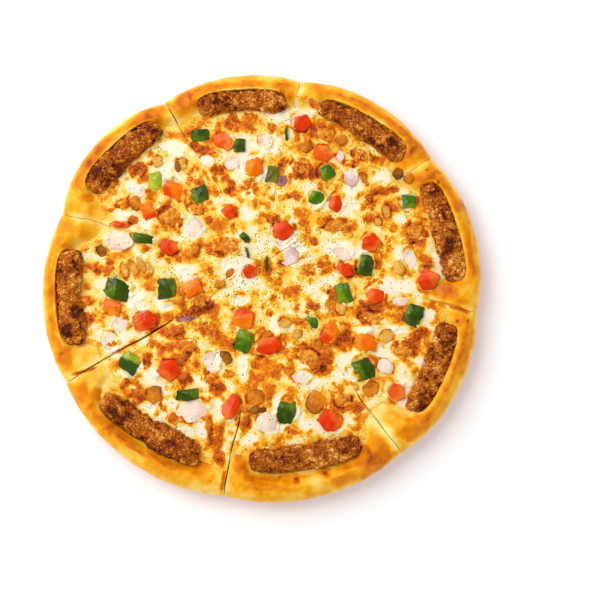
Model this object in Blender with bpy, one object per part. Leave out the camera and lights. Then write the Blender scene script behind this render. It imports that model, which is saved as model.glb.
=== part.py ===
"""A pan pizza about 300 mm across, cut into eight slices that still lie together.

Each slice is a dough wedge with a raised crust, a cheese layer on it and a kebab bedded in the
crust. The larger diced toppings are pieces of their own, sunk a little into the cheese, and the
smaller ones are baked into it. +Z is up, and the origin is the middle of the underside.
"""

import math
import random
from typing import NamedTuple

import bmesh
import bpy
from mathutils import Matrix, Vector, noise

MM = 0.001

# The four knife cuts cross away from the middle of the pizza.
CUT_CENTRE = Vector((3 * MM, 16.5 * MM))
CUT_HALF_WIDTH = 0.45 * MM

# Heights of the layers above the pan.
DOUGH_FLOOR = 11 * MM
CHEESE_LEVEL = 17 * MM
LAYER_GAP = 0.35 * MM
CHEESE_RELIEF = 1.5 * MM
CHEESE_GRAIN = 14 * MM
CHEESE_DROOP = 1.3 * MM  # the cheese sinks this far along a cut

# The crust, by its inset from the outer edge.
CRUST_WIDTH = 19 * MM
CRUST_SHOULDER = 11 * MM
CRUST_INNER_HEIGHT = 17.5 * MM
CRUST_CREST_RISE = 10 * MM
CRUST_RELIEF = 1.1 * MM
CRUST_GRAIN = 22 * MM
RELIEF_FADE = 4 * MM  # the crust's relief fades out over this height above its inner foot
BASE_INSET = 3.2 * MM  # the pan's flare: the underside is this much smaller all round
SIDE_INSET = 0.9 * MM
SIDE_HEIGHT = 4.5 * MM
CREST_ROWS = 8
CREST_FULLNESS = 0.85  # under 1 the crest is fuller than a half ellipse
CUT_PRESS = 0.22  # the share of its rise that the crest loses where the knife pressed it
CUT_PRESS_REACH = 6  # a higher power keeps the pressed part closer to the cut
SWELL_POWER = 2.5  # how squarely the crust's outline swells between two cuts
DROOP_POWER = 8  # a higher power keeps the cheese's droop closer to the cut

COLUMNS = 10
CHEESE_ROWS = 11
FIRST_ROW = 0.1  # the share of a cheese row's way out at which the first row lies

# The kebabs are pressed bars of minced meat, a little bowed along the crust.
KEBAB_BASE = 12.7 * MM
KEBAB_HEIGHT = 12.3 * MM
KEBAB_BOW = 2.5 * MM
KEBAB_RELIEF = 0.7 * MM
KEBAB_CLEARANCE = 0.4 * MM
KEBAB_RINGS = 9
KEBAB_SIDES = 10

# How uneven the diced toppings' corners are, and how far in degrees they lean.
DICE_UNEVENNESS = (0.84, 1.04)
DICE_TAPER = 0.9
DICE_TILT = 7.0
DICE_BEVEL = 0.8 * MM
TOPPING_CLEARANCE = 0.5 * MM
TRIM_INSET = 0.15 * MM  # a cut topping ends this far back from the cheese's side
SMALLEST_HALF = 2 * MM  # a cut topping's other half is kept where it is at least this wide


class Kebab(NamedTuple):
    """The middle of a kebab, its size in millimetres and its turn in degrees."""

    x: float
    y: float
    length: float
    width: float
    turn: float


class Slice(NamedTuple):
    """A slice's first cut in degrees, and its crust's reach there and in its middle in millimetres."""

    cut: float
    reach_at_cut: float
    reach: float
    kebab: Kebab


SLICES = (
    Slice(31.7, 145.8, 148, Kebab(70.5, 108.5, 66, 16, -30)),
    Slice(79.0, 142.6, 145, Kebab(-13, 126.5, 60, 15, 3)),
    Slice(122.8, 141.8, 149.5, Kebab(-95.5, 89.5, 63, 17, 43)),
    Slice(166.8, 144.6, 150.3, Kebab(-131, -7.5, 65, 18.5, 92)),
    Slice(211.1, 149.4, 150.6, Kebab(-77, -98.5, 76, 19, -31)),
    Slice(259.8, 146.3, 150, Kebab(30.5, -116.5, 77, 18, 9)),
    Slice(305.3, 149.8, 153, Kebab(118.5, -56.5, 64, 17, 67)),
    Slice(346.6, 149.1, 151, Kebab(126, 37.5, 69, 17, -73)),
)


class Kind(NamedTuple):
    """How one kind of topping is diced and how far it is sunk, with its colour and roughness."""

    corners: int
    thickness: float
    sunk: float
    colour: tuple
    roughness: float


KINDS = {
    "red_pepper": Kind(5, 5.4 * MM, 2.0 * MM, (0.72, 0.07, 0.02), 0.3),
    "orange_pepper": Kind(4, 5.4 * MM, 2.0 * MM, (0.86, 0.24, 0.03), 0.3),
    "green_pepper": Kind(4, 5.2 * MM, 1.9 * MM, (0.06, 0.20, 0.03), 0.3),
    "onion": Kind(6, 3.8 * MM, 1.8 * MM, (0.80, 0.66, 0.60), 0.35),
    "mushroom": Kind(8, 4.6 * MM, 2.0 * MM, (0.55, 0.32, 0.12), 0.5),
    "chicken": Kind(7, 5.0 * MM, 2.6 * MM, (0.62, 0.26, 0.06), 0.55),
}

# Pieces that lie on the cheese, each a solid of its own.
# Each row is x, y, length, width and turn, in millimetres and degrees.
LAID_ON = {
    "red_pepper": (
        (-26, 99, 15, 11, 160),
        (28, 111, 12, 11, 10),
        (42.5, 90, 14, 11, 155),
        (51, 56.5, 10, 12, 10),
        (14.5, 37.5, 13, 12, 10),
        (75.5, 30, 13, 12, 165),
        (114, 4, 15, 14, 45),
        (79, -5.5, 13, 12, 60),
        (-62, 28, 14, 12, 10),
        (-79.5, -24.5, 16, 13, 25),
        (5.5, -41, 17, 12, 10),
        (-63, -57, 16, 15, 150),
        (-20, -82.5, 12, 17, -28),
        (48, -92, 16, 14, -20),
    ),
    "orange_pepper": (
        (-5, 81.5, 11, 12, 15),
        (-60, 65.5, 13, 12, 165),
        (-47, -1.5, 13, 11, 25),
        (-12.5, -22, 14, 12, 165),
    ),
    "green_pepper": (
        (-41.5, 103, 14, 9, 5),
        (-41.5, 62.5, 12, 11, 20),
        (-81, 33, 14, 8, 175),
        (38.5, 60, 12, 10, 160),
        (72, 14, 11, 15, 165),
        (56.5, -5, 12, 15, 15),
        (104, -20.5, 11, 16, 160),
        (70, -57, 14, 15, 20),
        (17.5, -86.5, 12, 18, 175),
        (-65, -1.5, 13, 14, 5),
        (-98, -2.5, 18, 13, 160),
        (-89.5, -52.5, 14, 14, 145),
    ),
    "onion": (
        (-97, 31, 18, 12, 175),
        (-45, 39.5, 12, 13, 20),
        (19.5, 20, 14, 10, 20),
        (-46.5, -85.5, 19, 16, 10),
        (4, -94, 14, 14, 30),
    ),
    "mushroom": ((37, -79, 13, 16, 170),),
}

# Smaller pieces that the cheese holds, in the same order: they are fused with its layer.
BAKED_IN = {
    "red_pepper": (
        (-22, 51, 9, 9, 140),
        (-96.5, 41.5, 12, 5, 5),
        (-7.5, 10, 9, 10, 140),
        (57, 11.5, 12, 7, 150),
        (93, -73, 11, 12, 5),
    ),
    "orange_pepper": (
        (-77, 51, 9, 12, 20),
        (47.5, -32, 10, 15, 150),
        (71, -39, 14, 11, 0),
        (-102, -14.5, 13, 9, 160),
    ),
    "green_pepper": (
        (-14.5, 96, 9, 10, 0),
        (-72, 71.5, 9, 13, 15),
        (8, 76.5, 9, 12, 170),
        (45, 77.5, 10, 10, 30),
        (101, 57.5, 9, 9, 0),
        (-11.5, -38, 12, 15, 160),
        (-50.5, -74, 16, 7, 5),
        (35, -25, 8, 8, 0),
        (-11, 33, 8, 5, 130),
    ),
    "onion": (
        (-37, 86, 10, 8, 160),
        (-20, 84, 10, 8, 10),
        (-85, 65, 11, 9, 0),
        (3, 99, 10, 8, 160),
        (61, 75, 10, 13, 10),
        (54, 89, 5, 8, 10),
        (56, 22, 14, 8, 165),
        (102, 19, 8, 12, 20),
        (-96, -26, 12, 10, 30),
        (-103, -38, 11, 12, 20),
        (-34, -52, 12, 12, 40),
        (95, -10.5, 13, 6, 5),
        (85, -55, 11, 9, 160),
        (28, -62, 12, 9, 20),
        (62.5, -60.5, 7, 13, 30),
    ),
    "mushroom": (
        (-71, 85, 7, 8, 0),
        (-54, 84, 8, 9, 0),
        (-86, 57, 8, 12, 20),
        (-109.5, 24, 8, 9, 40),
        (-93, 11, 7, 9, 20),
        (-82, 14, 7, 13, 25),
        (95, 12, 8, 11, 30),
        (94, 77, 7, 8, 150),
        (86, 51, 6, 9, 10),
        (-73, -75, 9, 13, 160),
        (-3, -76, 12, 12, 0),
        (75.5, -70, 11, 11, 0),
        (85.5, -34, 9, 8, 20),
        (-24, -49, 7, 10, 30),
    ),
    "chicken": (
        (-62, 47, 15, 14, 140),
        (-24, 27, 18, 11, 175),
        (-44, 52.5, 13, 7, 170),
        (44, 104, 14, 10, 165),
        (68, 90, 12, 8, 165),
        (28, 82, 15, 12, 20),
        (52, 41, 18, 10, 5),
        (104, 37, 14, 13, 30),
        (33, 12, 13, 7, 0),
        (-40, -11, 15, 8, 20),
        (-50, -41, 12, 9, 20),
        (33, -50, 19, 12, 150),
        (97, -44, 15, 10, 160),
        (76, -22, 17, 9, 175),
        (56, -78, 10, 10, 150),
    ),
}

DOUGH_COLOUR = (0.80, 0.42, 0.12)
CHEESE_COLOUR = (0.90, 0.72, 0.35)
KEBAB_COLOUR = (0.26, 0.11, 0.05)


def clear_scene():
    """Removes every object and collection that is there at the start."""
    for thing in list(bpy.data.objects):
        bpy.data.objects.remove(thing)
    for collection in list(bpy.data.collections):
        bpy.data.collections.remove(collection)


def new_collection(name):
    """A collection linked to the scene."""
    collection = bpy.data.collections.new(name)
    bpy.context.scene.collection.children.link(collection)
    return collection


def new_material(name, colour, roughness):
    """A Principled material of one colour."""
    material = bpy.data.materials.new(name)
    material.use_nodes = True
    shader = material.node_tree.nodes["Principled BSDF"]
    shader.inputs["Base Color"].default_value = (*colour, 1.0)
    shader.inputs["Roughness"].default_value = roughness
    shader.inputs["Metallic"].default_value = 0.0
    return material


def object_from(bm, name, collection, material):
    """Closes a bmesh into a named object with its faces pointing out."""
    bmesh.ops.recalc_face_normals(bm, faces=bm.faces)
    if bm.calc_volume(signed=True) < 0:
        bmesh.ops.reverse_faces(bm, faces=bm.faces)
    mesh = bpy.data.meshes.new(name)
    bm.to_mesh(mesh)
    bm.free()
    mesh.materials.append(material)
    thing = bpy.data.objects.new(name, mesh)
    collection.objects.link(thing)
    return thing


def combine(target, tools, operation):
    """Joins the tools' solids to the target, or cuts them from it, and removes the tools."""
    modifier = target.modifiers.new(operation.title(), "BOOLEAN")
    modifier.operation = operation
    modifier.operand_type = "COLLECTION"
    modifier.collection = tools
    modifier.solver = "EXACT"
    modifier.material_mode = "TRANSFER"
    graph = bpy.context.evaluated_depsgraph_get()
    mesh = bpy.data.meshes.new_from_object(target.evaluated_get(graph))
    target.modifiers.clear()
    target.data = mesh
    for tool in list(tools.objects):
        bpy.data.objects.remove(tool)
    bpy.data.collections.remove(tools)


def direction(degrees):
    """The unit vector in the plane at an angle from +X."""
    return Vector((math.cos(math.radians(degrees)), math.sin(math.radians(degrees))))


def relief(x, y, grain, offset):
    """Smooth unevenness from -1 to 1, with bumps about a grain apart."""
    roughness, lacunarity, octaves = 0.7, 2.0, 2
    return noise.fractal(Vector((x / grain, y / grain, offset)), roughness, lacunarity, octaves)


class Wedge:
    """The plan of one slice: rays run from its tip to the crust's outer edge."""

    def __init__(self, index):
        here = SLICES[index]
        after = SLICES[(index + 1) % len(SLICES)]
        self.first_cut = here.cut
        self.last_cut = after.cut if after.cut > here.cut else after.cut + 360
        self.reach_at_first = here.reach_at_cut * MM
        self.reach_at_last = after.reach_at_cut * MM
        self.reach = here.reach * MM
        half_angle = math.radians(self.last_cut - self.first_cut) / 2
        middle = (self.first_cut + self.last_cut) / 2
        self.tip = CUT_CENTRE + direction(middle) * (CUT_HALF_WIDTH / math.sin(half_angle))
        self.inward = (direction(self.first_cut + 90), direction(self.last_cut - 90))

    def depth(self, x, y):
        """How far a point lies inside the nearer of the two cuts."""
        away = Vector((x, y)) - CUT_CENTRE
        return min(away.dot(normal) for normal in self.inward)

    def crust_radius(self, share):
        """The crust's distance from the middle of the pizza, drawn in at both cuts."""
        at_cuts = self.reach_at_first * (1 - share) + self.reach_at_last * share
        swell = 1 - abs(2 * share - 1) ** SWELL_POWER
        return at_cuts + (self.reach - (self.reach_at_first + self.reach_at_last) / 2) * swell

    def ray(self, share):
        """The direction of the ray at this share of the slice's angle, and how far the crust's edge is."""
        along = direction(self.first_cut * (1 - share) + self.last_cut * share)
        radius = self.crust_radius(share)
        lean = self.tip.dot(along)
        return along, -lean + math.sqrt(lean**2 - self.tip.length_squared + radius**2)


def wedge_solid(wedge, chains, tip_top, tip_bottom, name, collection, material):
    """A closed wedge from chains of points, one on each ray, from near the tip out to the lowest point."""
    bm = bmesh.new()
    top = bm.verts.new((*wedge.tip, tip_top))
    bottom = bm.verts.new((*wedge.tip, tip_bottom))
    rings = [[bm.verts.new(point) for point in chain] for chain in chains]
    for left, right in zip(rings, rings[1:]):
        bm.faces.new((top, left[0], right[0]))
        for row in range(len(left) - 1):
            bm.faces.new((left[row], left[row + 1], right[row + 1], right[row]))
    bm.faces.new([bottom, top] + rings[0])
    bm.faces.new([bottom, top] + rings[-1])
    bm.faces.new([bottom] + [ring[-1] for ring in rings])
    return object_from(bm, name, collection, material)


def crust_profile():
    """Inset and height of the crust's rows, from its inner foot over the crest and down the side."""
    rows = [(CRUST_WIDTH, DOUGH_FLOOR)]
    for row in range(CREST_ROWS + 1):
        turn = math.pi * row / CREST_ROWS
        inward = (1 + math.cos(turn)) / 2
        height = CRUST_SHOULDER * (1 - inward) + CRUST_INNER_HEIGHT * inward
        rows.append((CRUST_WIDTH * inward, height + CRUST_CREST_RISE * math.sin(turn) ** CREST_FULLNESS))
    return rows + [(SIDE_INSET, SIDE_HEIGHT), (BASE_INSET, 0.0)]


def make_dough(index, wedge, collection, material):
    """One slice's dough: a flat floor under the cheese and the raised crust with its pan side."""
    profile = crust_profile()
    chains = []
    for column in range(COLUMNS + 1):
        share = column / COLUMNS
        along, length = wedge.ray(share)
        pressed = 1 - CUT_PRESS * abs(2 * share - 1) ** CUT_PRESS_REACH
        chain = []
        for inset, height in profile:
            plan = wedge.tip + along * (length - inset)
            rise = max(0.0, height - CRUST_INNER_HEIGHT)
            bump = CRUST_RELIEF * relief(plan.x, plan.y, CRUST_GRAIN, index) * min(1.0, rise / RELIEF_FADE)
            chain.append((plan.x, plan.y, height + rise * (pressed - 1) + bump))
        chains.append(chain)
    return wedge_solid(wedge, chains, DOUGH_FLOOR, 0.0, f"dough_{index + 1}", collection, material)


def make_cheese(index, wedge, collection, material):
    """One slice's cheese layer, uneven on top and drooping along both cuts."""
    foot = DOUGH_FLOOR + LAYER_GAP
    chains = []
    for column in range(COLUMNS + 1):
        share = column / COLUMNS
        along, length = wedge.ray(share)
        end = length - CRUST_WIDTH - LAYER_GAP
        droop = CHEESE_DROOP * abs(2 * share - 1) ** DROOP_POWER
        chain = []
        for row in range(CHEESE_ROWS + 1):
            out = FIRST_ROW + (1 - FIRST_ROW) * row / CHEESE_ROWS
            plan = wedge.tip + along * end * out
            bump = CHEESE_RELIEF * relief(plan.x, plan.y, CHEESE_GRAIN, len(SLICES) + index)
            chain.append((plan.x, plan.y, CHEESE_LEVEL + bump - droop))
        chains.append(chain + [(plan.x, plan.y, foot)])
    top = CHEESE_LEVEL - CHEESE_DROOP
    return wedge_solid(wedge, chains, top, foot, f"cheese_{index + 1}", collection, material)


def make_kebab(kebab, name, collection, material, clearance=0.0):
    """A blunt bar of minced meat, or with a clearance the hollow that holds it."""
    bm = bmesh.new()
    bmesh.ops.create_uvsphere(bm, u_segments=KEBAB_SIDES, v_segments=KEBAB_RINGS, radius=1)
    half = Vector((kebab.length * MM, kebab.width * MM, KEBAB_HEIGHT)) / 2 + Vector([clearance] * 3)
    middle = Vector((kebab.x * MM, kebab.y * MM, KEBAB_BASE + KEBAB_HEIGHT / 2))
    turn = Matrix.Rotation(math.radians(kebab.turn), 3, "Z")
    outward = 1 if (turn @ Vector((0, 1, 0))).dot(middle) > 0 else -1
    for vert in bm.verts:
        across = Vector((vert.co.x, vert.co.y))
        girth = math.sqrt(across.length)  # square-ended: the bar keeps its width almost to the ends
        across = across.normalized() * girth if across.length > 1e-6 else Vector((0, 0))
        along = math.copysign(math.sqrt(abs(vert.co.z)), vert.co.z)
        lump = 1 + KEBAB_RELIEF / half.z * relief(3 * along, 2 * across.x, 1.0, kebab.x + across.y)
        place = Vector((along * half.x, across.x * half.y * lump, across.y * half.z * lump))
        place.y -= outward * KEBAB_BOW * along**2
        vert.co = middle + turn @ place
    bmesh.ops.triangulate(bm, faces=bm.faces, quad_method="FIXED")  # the hollow gets the same facets
    return object_from(bm, name, collection, material)


def trim(bm, wedge):
    """Cuts a piece off at the slice's two cuts, where the knife went through it."""
    for normal in wedge.inward:
        edge = CUT_CENTRE + normal * (CUT_HALF_WIDTH + TRIM_INSET)
        cut = bmesh.ops.bisect_plane(
            bm,
            geom=bm.verts[:] + bm.edges[:] + bm.faces[:],
            plane_co=(*edge, 0.0),
            plane_no=(*-normal, 0.0),
            clear_outer=True,
        )
        rim = [part for part in cut["geom_cut"] if isinstance(part, bmesh.types.BMEdge)]
        if rim:
            bmesh.ops.contextual_create(bm, geom=rim)


def make_topping(
    kind_name, place, name, collection, material, seed, clearance=0.0, bevel=0.0, wedge=None
):
    """A diced piece with uneven corners, lying a little tilted in the cheese."""
    kind = KINDS[kind_name]
    x, y, length, width, turn = place
    draw = random.Random(seed)
    bm = bmesh.new()
    corner_angle = 2 * math.pi / kind.corners
    across_flats = 0.5 / math.cos(corner_angle / 2)
    bmesh.ops.create_cone(
        bm,
        cap_ends=True,
        segments=kind.corners,
        radius1=across_flats,
        radius2=across_flats * DICE_TAPER,
        depth=1,
    )
    uneven = [draw.uniform(*DICE_UNEVENNESS) for _ in range(kind.corners)]
    tilt = Matrix.Rotation(math.radians(draw.uniform(-DICE_TILT, DICE_TILT)), 3, "X")
    tilt @= Matrix.Rotation(math.radians(draw.uniform(-DICE_TILT, DICE_TILT)), 3, "Y")
    size = Vector((length * MM, width * MM, kind.thickness)) + 2 * Vector([clearance] * 3)
    flat_ahead = Matrix.Rotation(corner_angle / 2, 3, "Z")
    for vert in bm.verts:
        corner = round(math.atan2(vert.co.y, vert.co.x) / corner_angle) % kind.corners
        vert.co.xy *= uneven[corner]
        vert.co = size * (flat_ahead @ vert.co)
    if bevel:
        bmesh.ops.bevel(
            bm, geom=bm.edges[:], offset=bevel, segments=1, affect="EDGES", clamp_overlap=True
        )
    lift = CHEESE_LEVEL + kind.thickness / 2 - kind.sunk
    turned = Matrix.Rotation(math.radians(turn), 3, "Z") @ tilt
    for vert in bm.verts:
        vert.co = turned @ vert.co + Vector((x * MM, y * MM, lift))
    if wedge:
        trim(bm, wedge)
    return object_from(bm, name, collection, material)


def pieces_in(table, wedge, both_halves=False):
    """The kind, place and number of each topping in this slice, or that reaches into it with both_halves."""
    for kind_name, places in table.items():
        for number, place in enumerate(places, start=1):
            x, y, _, width, _ = place
            overhang = width * MM / 2 - SMALLEST_HALF if both_halves else 0.0
            if wedge.depth(x * MM, y * MM) > -overhang:
                yield kind_name, place, number


def seed_of(table, kind_name, number):
    """A fixed seed for each piece."""
    tables = (LAID_ON, BAKED_IN)
    return 1000 * tables.index(table) + 100 * list(KINDS).index(kind_name) + number


def dress_slice(index, wedge, pizza, materials):
    """Makes one slice: its dough, cheese and kebab, and the toppings on it."""
    kebab = SLICES[index].kebab
    dough = make_dough(index, wedge, pizza, materials["dough"])
    cheese = make_cheese(index, wedge, pizza, materials["cheese"])
    make_kebab(kebab, f"kebab_{index + 1}", pizza, materials["kebab"])

    baked = new_collection("baked in")
    for kind_name, place, number in pieces_in(BAKED_IN, wedge, both_halves=True):
        seed = seed_of(BAKED_IN, kind_name, number)
        make_topping(kind_name, place, "baked", baked, materials[kind_name], seed, wedge=wedge)
    combine(cheese, baked, "UNION")

    hollows = new_collection("hollows")
    make_kebab(kebab, "kebab hollow", hollows, materials["cheese"], KEBAB_CLEARANCE)
    for kind_name, place, number in pieces_in(LAID_ON, wedge):
        seed = seed_of(LAID_ON, kind_name, number)
        name = f"{kind_name}_{number:02d}"
        make_topping(
            kind_name, place, name, pizza, materials[kind_name], seed, bevel=DICE_BEVEL, wedge=wedge
        )
        make_topping(
            kind_name, place, "hollow", hollows, materials["cheese"], seed, TOPPING_CLEARANCE
        )
    combine(cheese, hollows, "DIFFERENCE")

    bed = new_collection("bed")
    make_kebab(kebab, "kebab bed", bed, materials["dough"], KEBAB_CLEARANCE)
    combine(dough, bed, "DIFFERENCE")


def main():
    """Builds the pizza slice by slice."""
    clear_scene()
    pizza = new_collection("pan pizza")
    materials = {
        "dough": new_material("dough", DOUGH_COLOUR, 0.5),
        "cheese": new_material("cheese", CHEESE_COLOUR, 0.4),
        "kebab": new_material("kebab", KEBAB_COLOUR, 0.6),
    }
    for kind_name, kind in KINDS.items():
        materials[kind_name] = new_material(kind_name, kind.colour, kind.roughness)
    for index in range(len(SLICES)):
        dress_slice(index, Wedge(index), pizza, materials)


main()
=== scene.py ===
"""The looks of a pan pizza: golden crust, browned cheese, grilled kebabs, diced toppings and herbs.

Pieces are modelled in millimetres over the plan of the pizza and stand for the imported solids.
+Z is up, and the origin is the middle of the underside. Where a function takes x and y and says
no more of them, they are places on that plan.
"""

import logging
import math
import random
from collections.abc import Iterator, Sequence
from dataclasses import dataclass
from enum import Enum

import bmesh
import bpy
import numpy as np
from bpy.types import Material, Mesh, Node, NodeSocket, NodeTree, Object
from mathutils import Matrix, Vector, geometry, noise


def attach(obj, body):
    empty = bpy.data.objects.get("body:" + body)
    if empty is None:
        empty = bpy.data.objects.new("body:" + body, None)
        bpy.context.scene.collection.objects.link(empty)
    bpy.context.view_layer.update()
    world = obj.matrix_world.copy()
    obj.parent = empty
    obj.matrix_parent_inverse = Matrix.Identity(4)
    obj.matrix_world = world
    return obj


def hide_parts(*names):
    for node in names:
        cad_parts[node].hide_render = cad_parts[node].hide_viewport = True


Array = np.ndarray

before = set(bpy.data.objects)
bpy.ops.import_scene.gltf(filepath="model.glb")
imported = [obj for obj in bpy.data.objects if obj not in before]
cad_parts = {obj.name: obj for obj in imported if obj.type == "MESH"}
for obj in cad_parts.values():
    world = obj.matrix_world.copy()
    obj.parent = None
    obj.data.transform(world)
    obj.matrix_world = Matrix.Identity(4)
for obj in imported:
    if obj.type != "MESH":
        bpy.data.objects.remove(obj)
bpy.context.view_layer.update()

log = logging.getLogger("pan pizza")

MM = 0.001
BODY = "root"

# The plan and heights of the solids in millimetres, and the powers and shares that shape them.
CUT_CENTRE = np.array([3.0, 16.5])
TIP_GAP = 0.02  # the tips' melted cheese has run together
DOUGH_FLOOR = 11.0
CHEESE_LEVEL = 17.0
LAYER_GAP = 0.35
CHEESE_RELIEF = 1.5
CHEESE_GRAIN = 14.0
CHEESE_DROOP = 1.3
DROOP_POWER = 8
CRUST_WIDTH = 19.0
CRUST_SHOULDER = 11.0
CRUST_INNER_HEIGHT = 17.5
CRUST_CREST_RISE = 10.0
CREST_FULLNESS = 0.6
EAR_SPAN = 22.0  # how far from the cuts the crust's corners reach
EAR_FADE = 14.0
CRUST_RELIEF = 1.1
CRUST_GRAIN = 22.0
RELIEF_FADE = 4.0
BASE_INSET = 3.2
SIDE_INSET = 0.9
SIDE_HEIGHT = 4.5
CUT_PRESS = 0.22
CUT_PRESS_REACH = 6
SWELL_POWER = 2.5
KEBAB_BASE = 12.7
KEBAB_HEIGHT = 12.3
KEBAB_BOW = 2.5
BED_RIM = 19.5
BED_DEPTH = 7.6

# Odd numbers that scramble places into random-looking ones, and the largest one of 32 bits.
BY_COLUMN = 374761393
BY_ROW = 668265263
BY_SEED = 362437
SCRAMBLE = 1274126177
LARGEST = 0xFFFFFFFF

TINY = 1e-9  # keeps a divisor off 0


def linear(colour: str) -> tuple[float, float, float, float]:
    """Turns an sRGB colour to the linear one that shaders take.

    Args:
        colour: Six hex digits.

    Returns:
        Red, green, blue and an alpha of 1.
    """
    channels = [int(colour[start : start + 2], 16) / 255 for start in (0, 2, 4)]
    turned = [c / 12.92 if c <= 0.04045 else ((c + 0.055) / 1.055) ** 2.4 for c in channels]
    return (*turned, 1.0)


def lattice(column: Array, row: Array, seed: int) -> Array:
    """Draws a fixed random number for each whole-numbered place.

    Args:
        column: Whole numbers along X.
        row: Whole numbers along Y.
        seed: Another seed gives other numbers.

    Returns:
        Numbers from 0 to 1.
    """
    mixed = column.astype(np.int64) * BY_COLUMN + row.astype(np.int64) * BY_ROW
    mixed = (mixed + seed * BY_SEED) & LARGEST
    mixed = ((mixed ^ (mixed >> 13)) * SCRAMBLE) & LARGEST
    return (mixed ^ (mixed >> 16)) / LARGEST


def smooth(value: Array) -> Array:
    """Eases a number from 0 to 1, and holds it there outside."""
    held = np.clip(value, 0.0, 1.0)
    return held * held * (3 - 2 * held)


def fade(value: Array, start: float, end: float) -> Array:
    """Gives 0 before a start value, 1 past an end value, and an eased step between them."""
    return smooth((value - start) / (end - start))


def flattened(value: Array, limit: float, slope: float, over: bool = True) -> Array:
    """Slows numbers down past a limit.

    Args:
        value: Any numbers.
        limit: From where on they change more slowly.
        slope: How fast they still change there.
        over: Whether those over the limit are slowed down, or those under it.

    Returns:
        The numbers.
    """
    past = value > limit if over else value < limit
    return np.where(past, limit + slope * (value - limit), value)


def bell(value: Array, middle: float, width: float) -> Array:
    """Gives 1 at a middle value, and less and less to both sides of it."""
    return np.exp(-(((value - middle) / width) ** 2))


def mottle(x: Array, y: Array, grain: float, seed: int, octaves: int = 2) -> Array:
    """Gives soft unevenness over the plan.

    Args:
        x, y: Places on the plan.
        grain: The size of the largest blotches, in millimetres.
        seed: Another seed gives other blotches.
        octaves: How many times finer blotches of half the size are added.

    Returns:
        Numbers from about -1 to 1.
    """
    total = np.zeros(np.shape(x))
    strength = 1.0
    reach = 0.0
    for octave in range(octaves):
        column, row = np.floor(x / grain), np.floor(y / grain)
        ahead, up = smooth(x / grain - column), smooth(y / grain - row)
        own = seed + 17 * octave
        low = lattice(column, row, own) * (1 - ahead) + lattice(column + 1, row, own) * ahead
        high = lattice(column, row + 1, own) * (1 - ahead) + lattice(column + 1, row + 1, own) * ahead
        total += strength * (2 * (low * (1 - up) + high * up) - 1)
        reach += strength
        strength /= 2
        grain /= 2.03  # a little off 2, so that the layers' grids don't line up
    return total / reach * 1.5


@dataclass(frozen=True)
class Mottling:
    """A layer of soft blotches: their strength, size in millimetres, seed and octaves."""

    strength: float
    grain: float
    seed: int
    octaves: int = 2

    def at(self, x: Array, y: Array) -> Array:
        """Gives what the layer adds at places on the plan."""
        return self.strength * mottle(x, y, self.grain, self.seed, self.octaves)


def neighbours(
    x: Array, y: Array, spacing: float, seed: int
) -> Iterator[tuple[tuple[Array, Array], Array]]:
    """Goes through the scattered middles round each place.

    Args:
        x, y: Places on the plan.
        spacing: How far apart the middles are.
        seed: Another seed scatters them otherwise.

    Yields:
        The lattice place of one middle, and its distance.
    """
    column, row = np.floor(x / spacing), np.floor(y / spacing)
    for right in (-1, 0, 1):
        for over in (-1, 0, 1):
            place = column + right, row + over
            middle_x = (place[0] + lattice(*place, seed)) * spacing
            middle_y = (place[1] + lattice(*place, seed + 1)) * spacing
            yield place, np.hypot(x - middle_x, y - middle_y)


def domes(x: Array, y: Array, spacing: float, seed: int, smallest: float = 0.4) -> tuple[Array, Array]:
    """Scatters rounded bumps of many sizes over the plan.

    Args:
        x, y: Places on the plan.
        spacing: How far apart the bumps are.
        seed: Another seed gives other bumps.
        smallest: The smallest bump's share of the largest one's width.

    Returns:
        The height of the bump at each place, from 0 to 1, and a random number that is one bump's own.
    """
    height = np.zeros(np.shape(x))
    own = np.zeros(np.shape(x))
    for place, away in neighbours(x, y, spacing, seed):
        radius = spacing * 0.72 * (smallest + (1 - smallest) * lattice(*place, seed + 2))
        bump = 1 - (away / radius) ** 2
        own = np.where(bump > height, lattice(*place, seed + 3), own)
        height = np.maximum(height, bump)
    return height, own


def blisters(x: Array, y: Array, spacing: float, seed: int, due: Array) -> Array:
    """Scatters round blisters of many sizes over the plan, more of them where they are due.

    Args:
        x, y: Places on the plan.
        spacing: How far apart they are.
        seed: Another seed puts them elsewhere.
        due: The share of them that came up at each place.

    Returns:
        How deep each place lies in a blister: 1 in its middle, 0 on its rim and less round it.
    """
    x = x + 0.16 * spacing * mottle(x, y, 0.6 * spacing, seed + 5)
    y = y + 0.16 * spacing * mottle(x, y, 0.6 * spacing, seed + 6)
    depth = np.full(np.shape(x), -1.0)
    for place, away in neighbours(x, y, spacing, seed):
        radius = spacing * (0.25 + 0.4 * lattice(*place, seed + 2))
        came_up = lattice(*place, seed + 3) < due
        depth = np.where(came_up, np.maximum(depth, 1 - away / radius), depth)
    return depth


def relief(x: Array, y: Array, grain: float, offset: float) -> Array:
    """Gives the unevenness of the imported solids.

    Args:
        x, y: Places on the plan.
        grain: How far apart its bumps are.
        offset: The layer of the pattern that a solid takes.

    Returns:
        Numbers from about -1 to 1.
    """
    places = zip((x / grain).ravel(), (y / grain).ravel())
    heights = [noise.fractal(Vector((u, v, offset)), 0.7, 2.0, 2) for u, v in places]
    return np.array(heights).reshape(np.shape(x))


@dataclass(frozen=True)
class Patch:
    """An oval place on the pizza, seen from above, in millimetres and degrees."""

    x: float
    y: float
    length: float
    width: float
    turn: float = 0.0
    strength: float = 1.0

    def depth(self, x: Array, y: Array) -> Array:
        """Tells how deep places lie in the patch: 1 in its middle, 0 on its rim, less outside."""
        cosine, sine = math.cos(math.radians(self.turn)), math.sin(math.radians(self.turn))
        along = ((x - self.x) * cosine + (y - self.y) * sine) / (self.length / 2)
        across = ((y - self.y) * cosine - (x - self.x) * sine) / (self.width / 2)
        return 1 - np.sqrt(along**2 + across**2)


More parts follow.
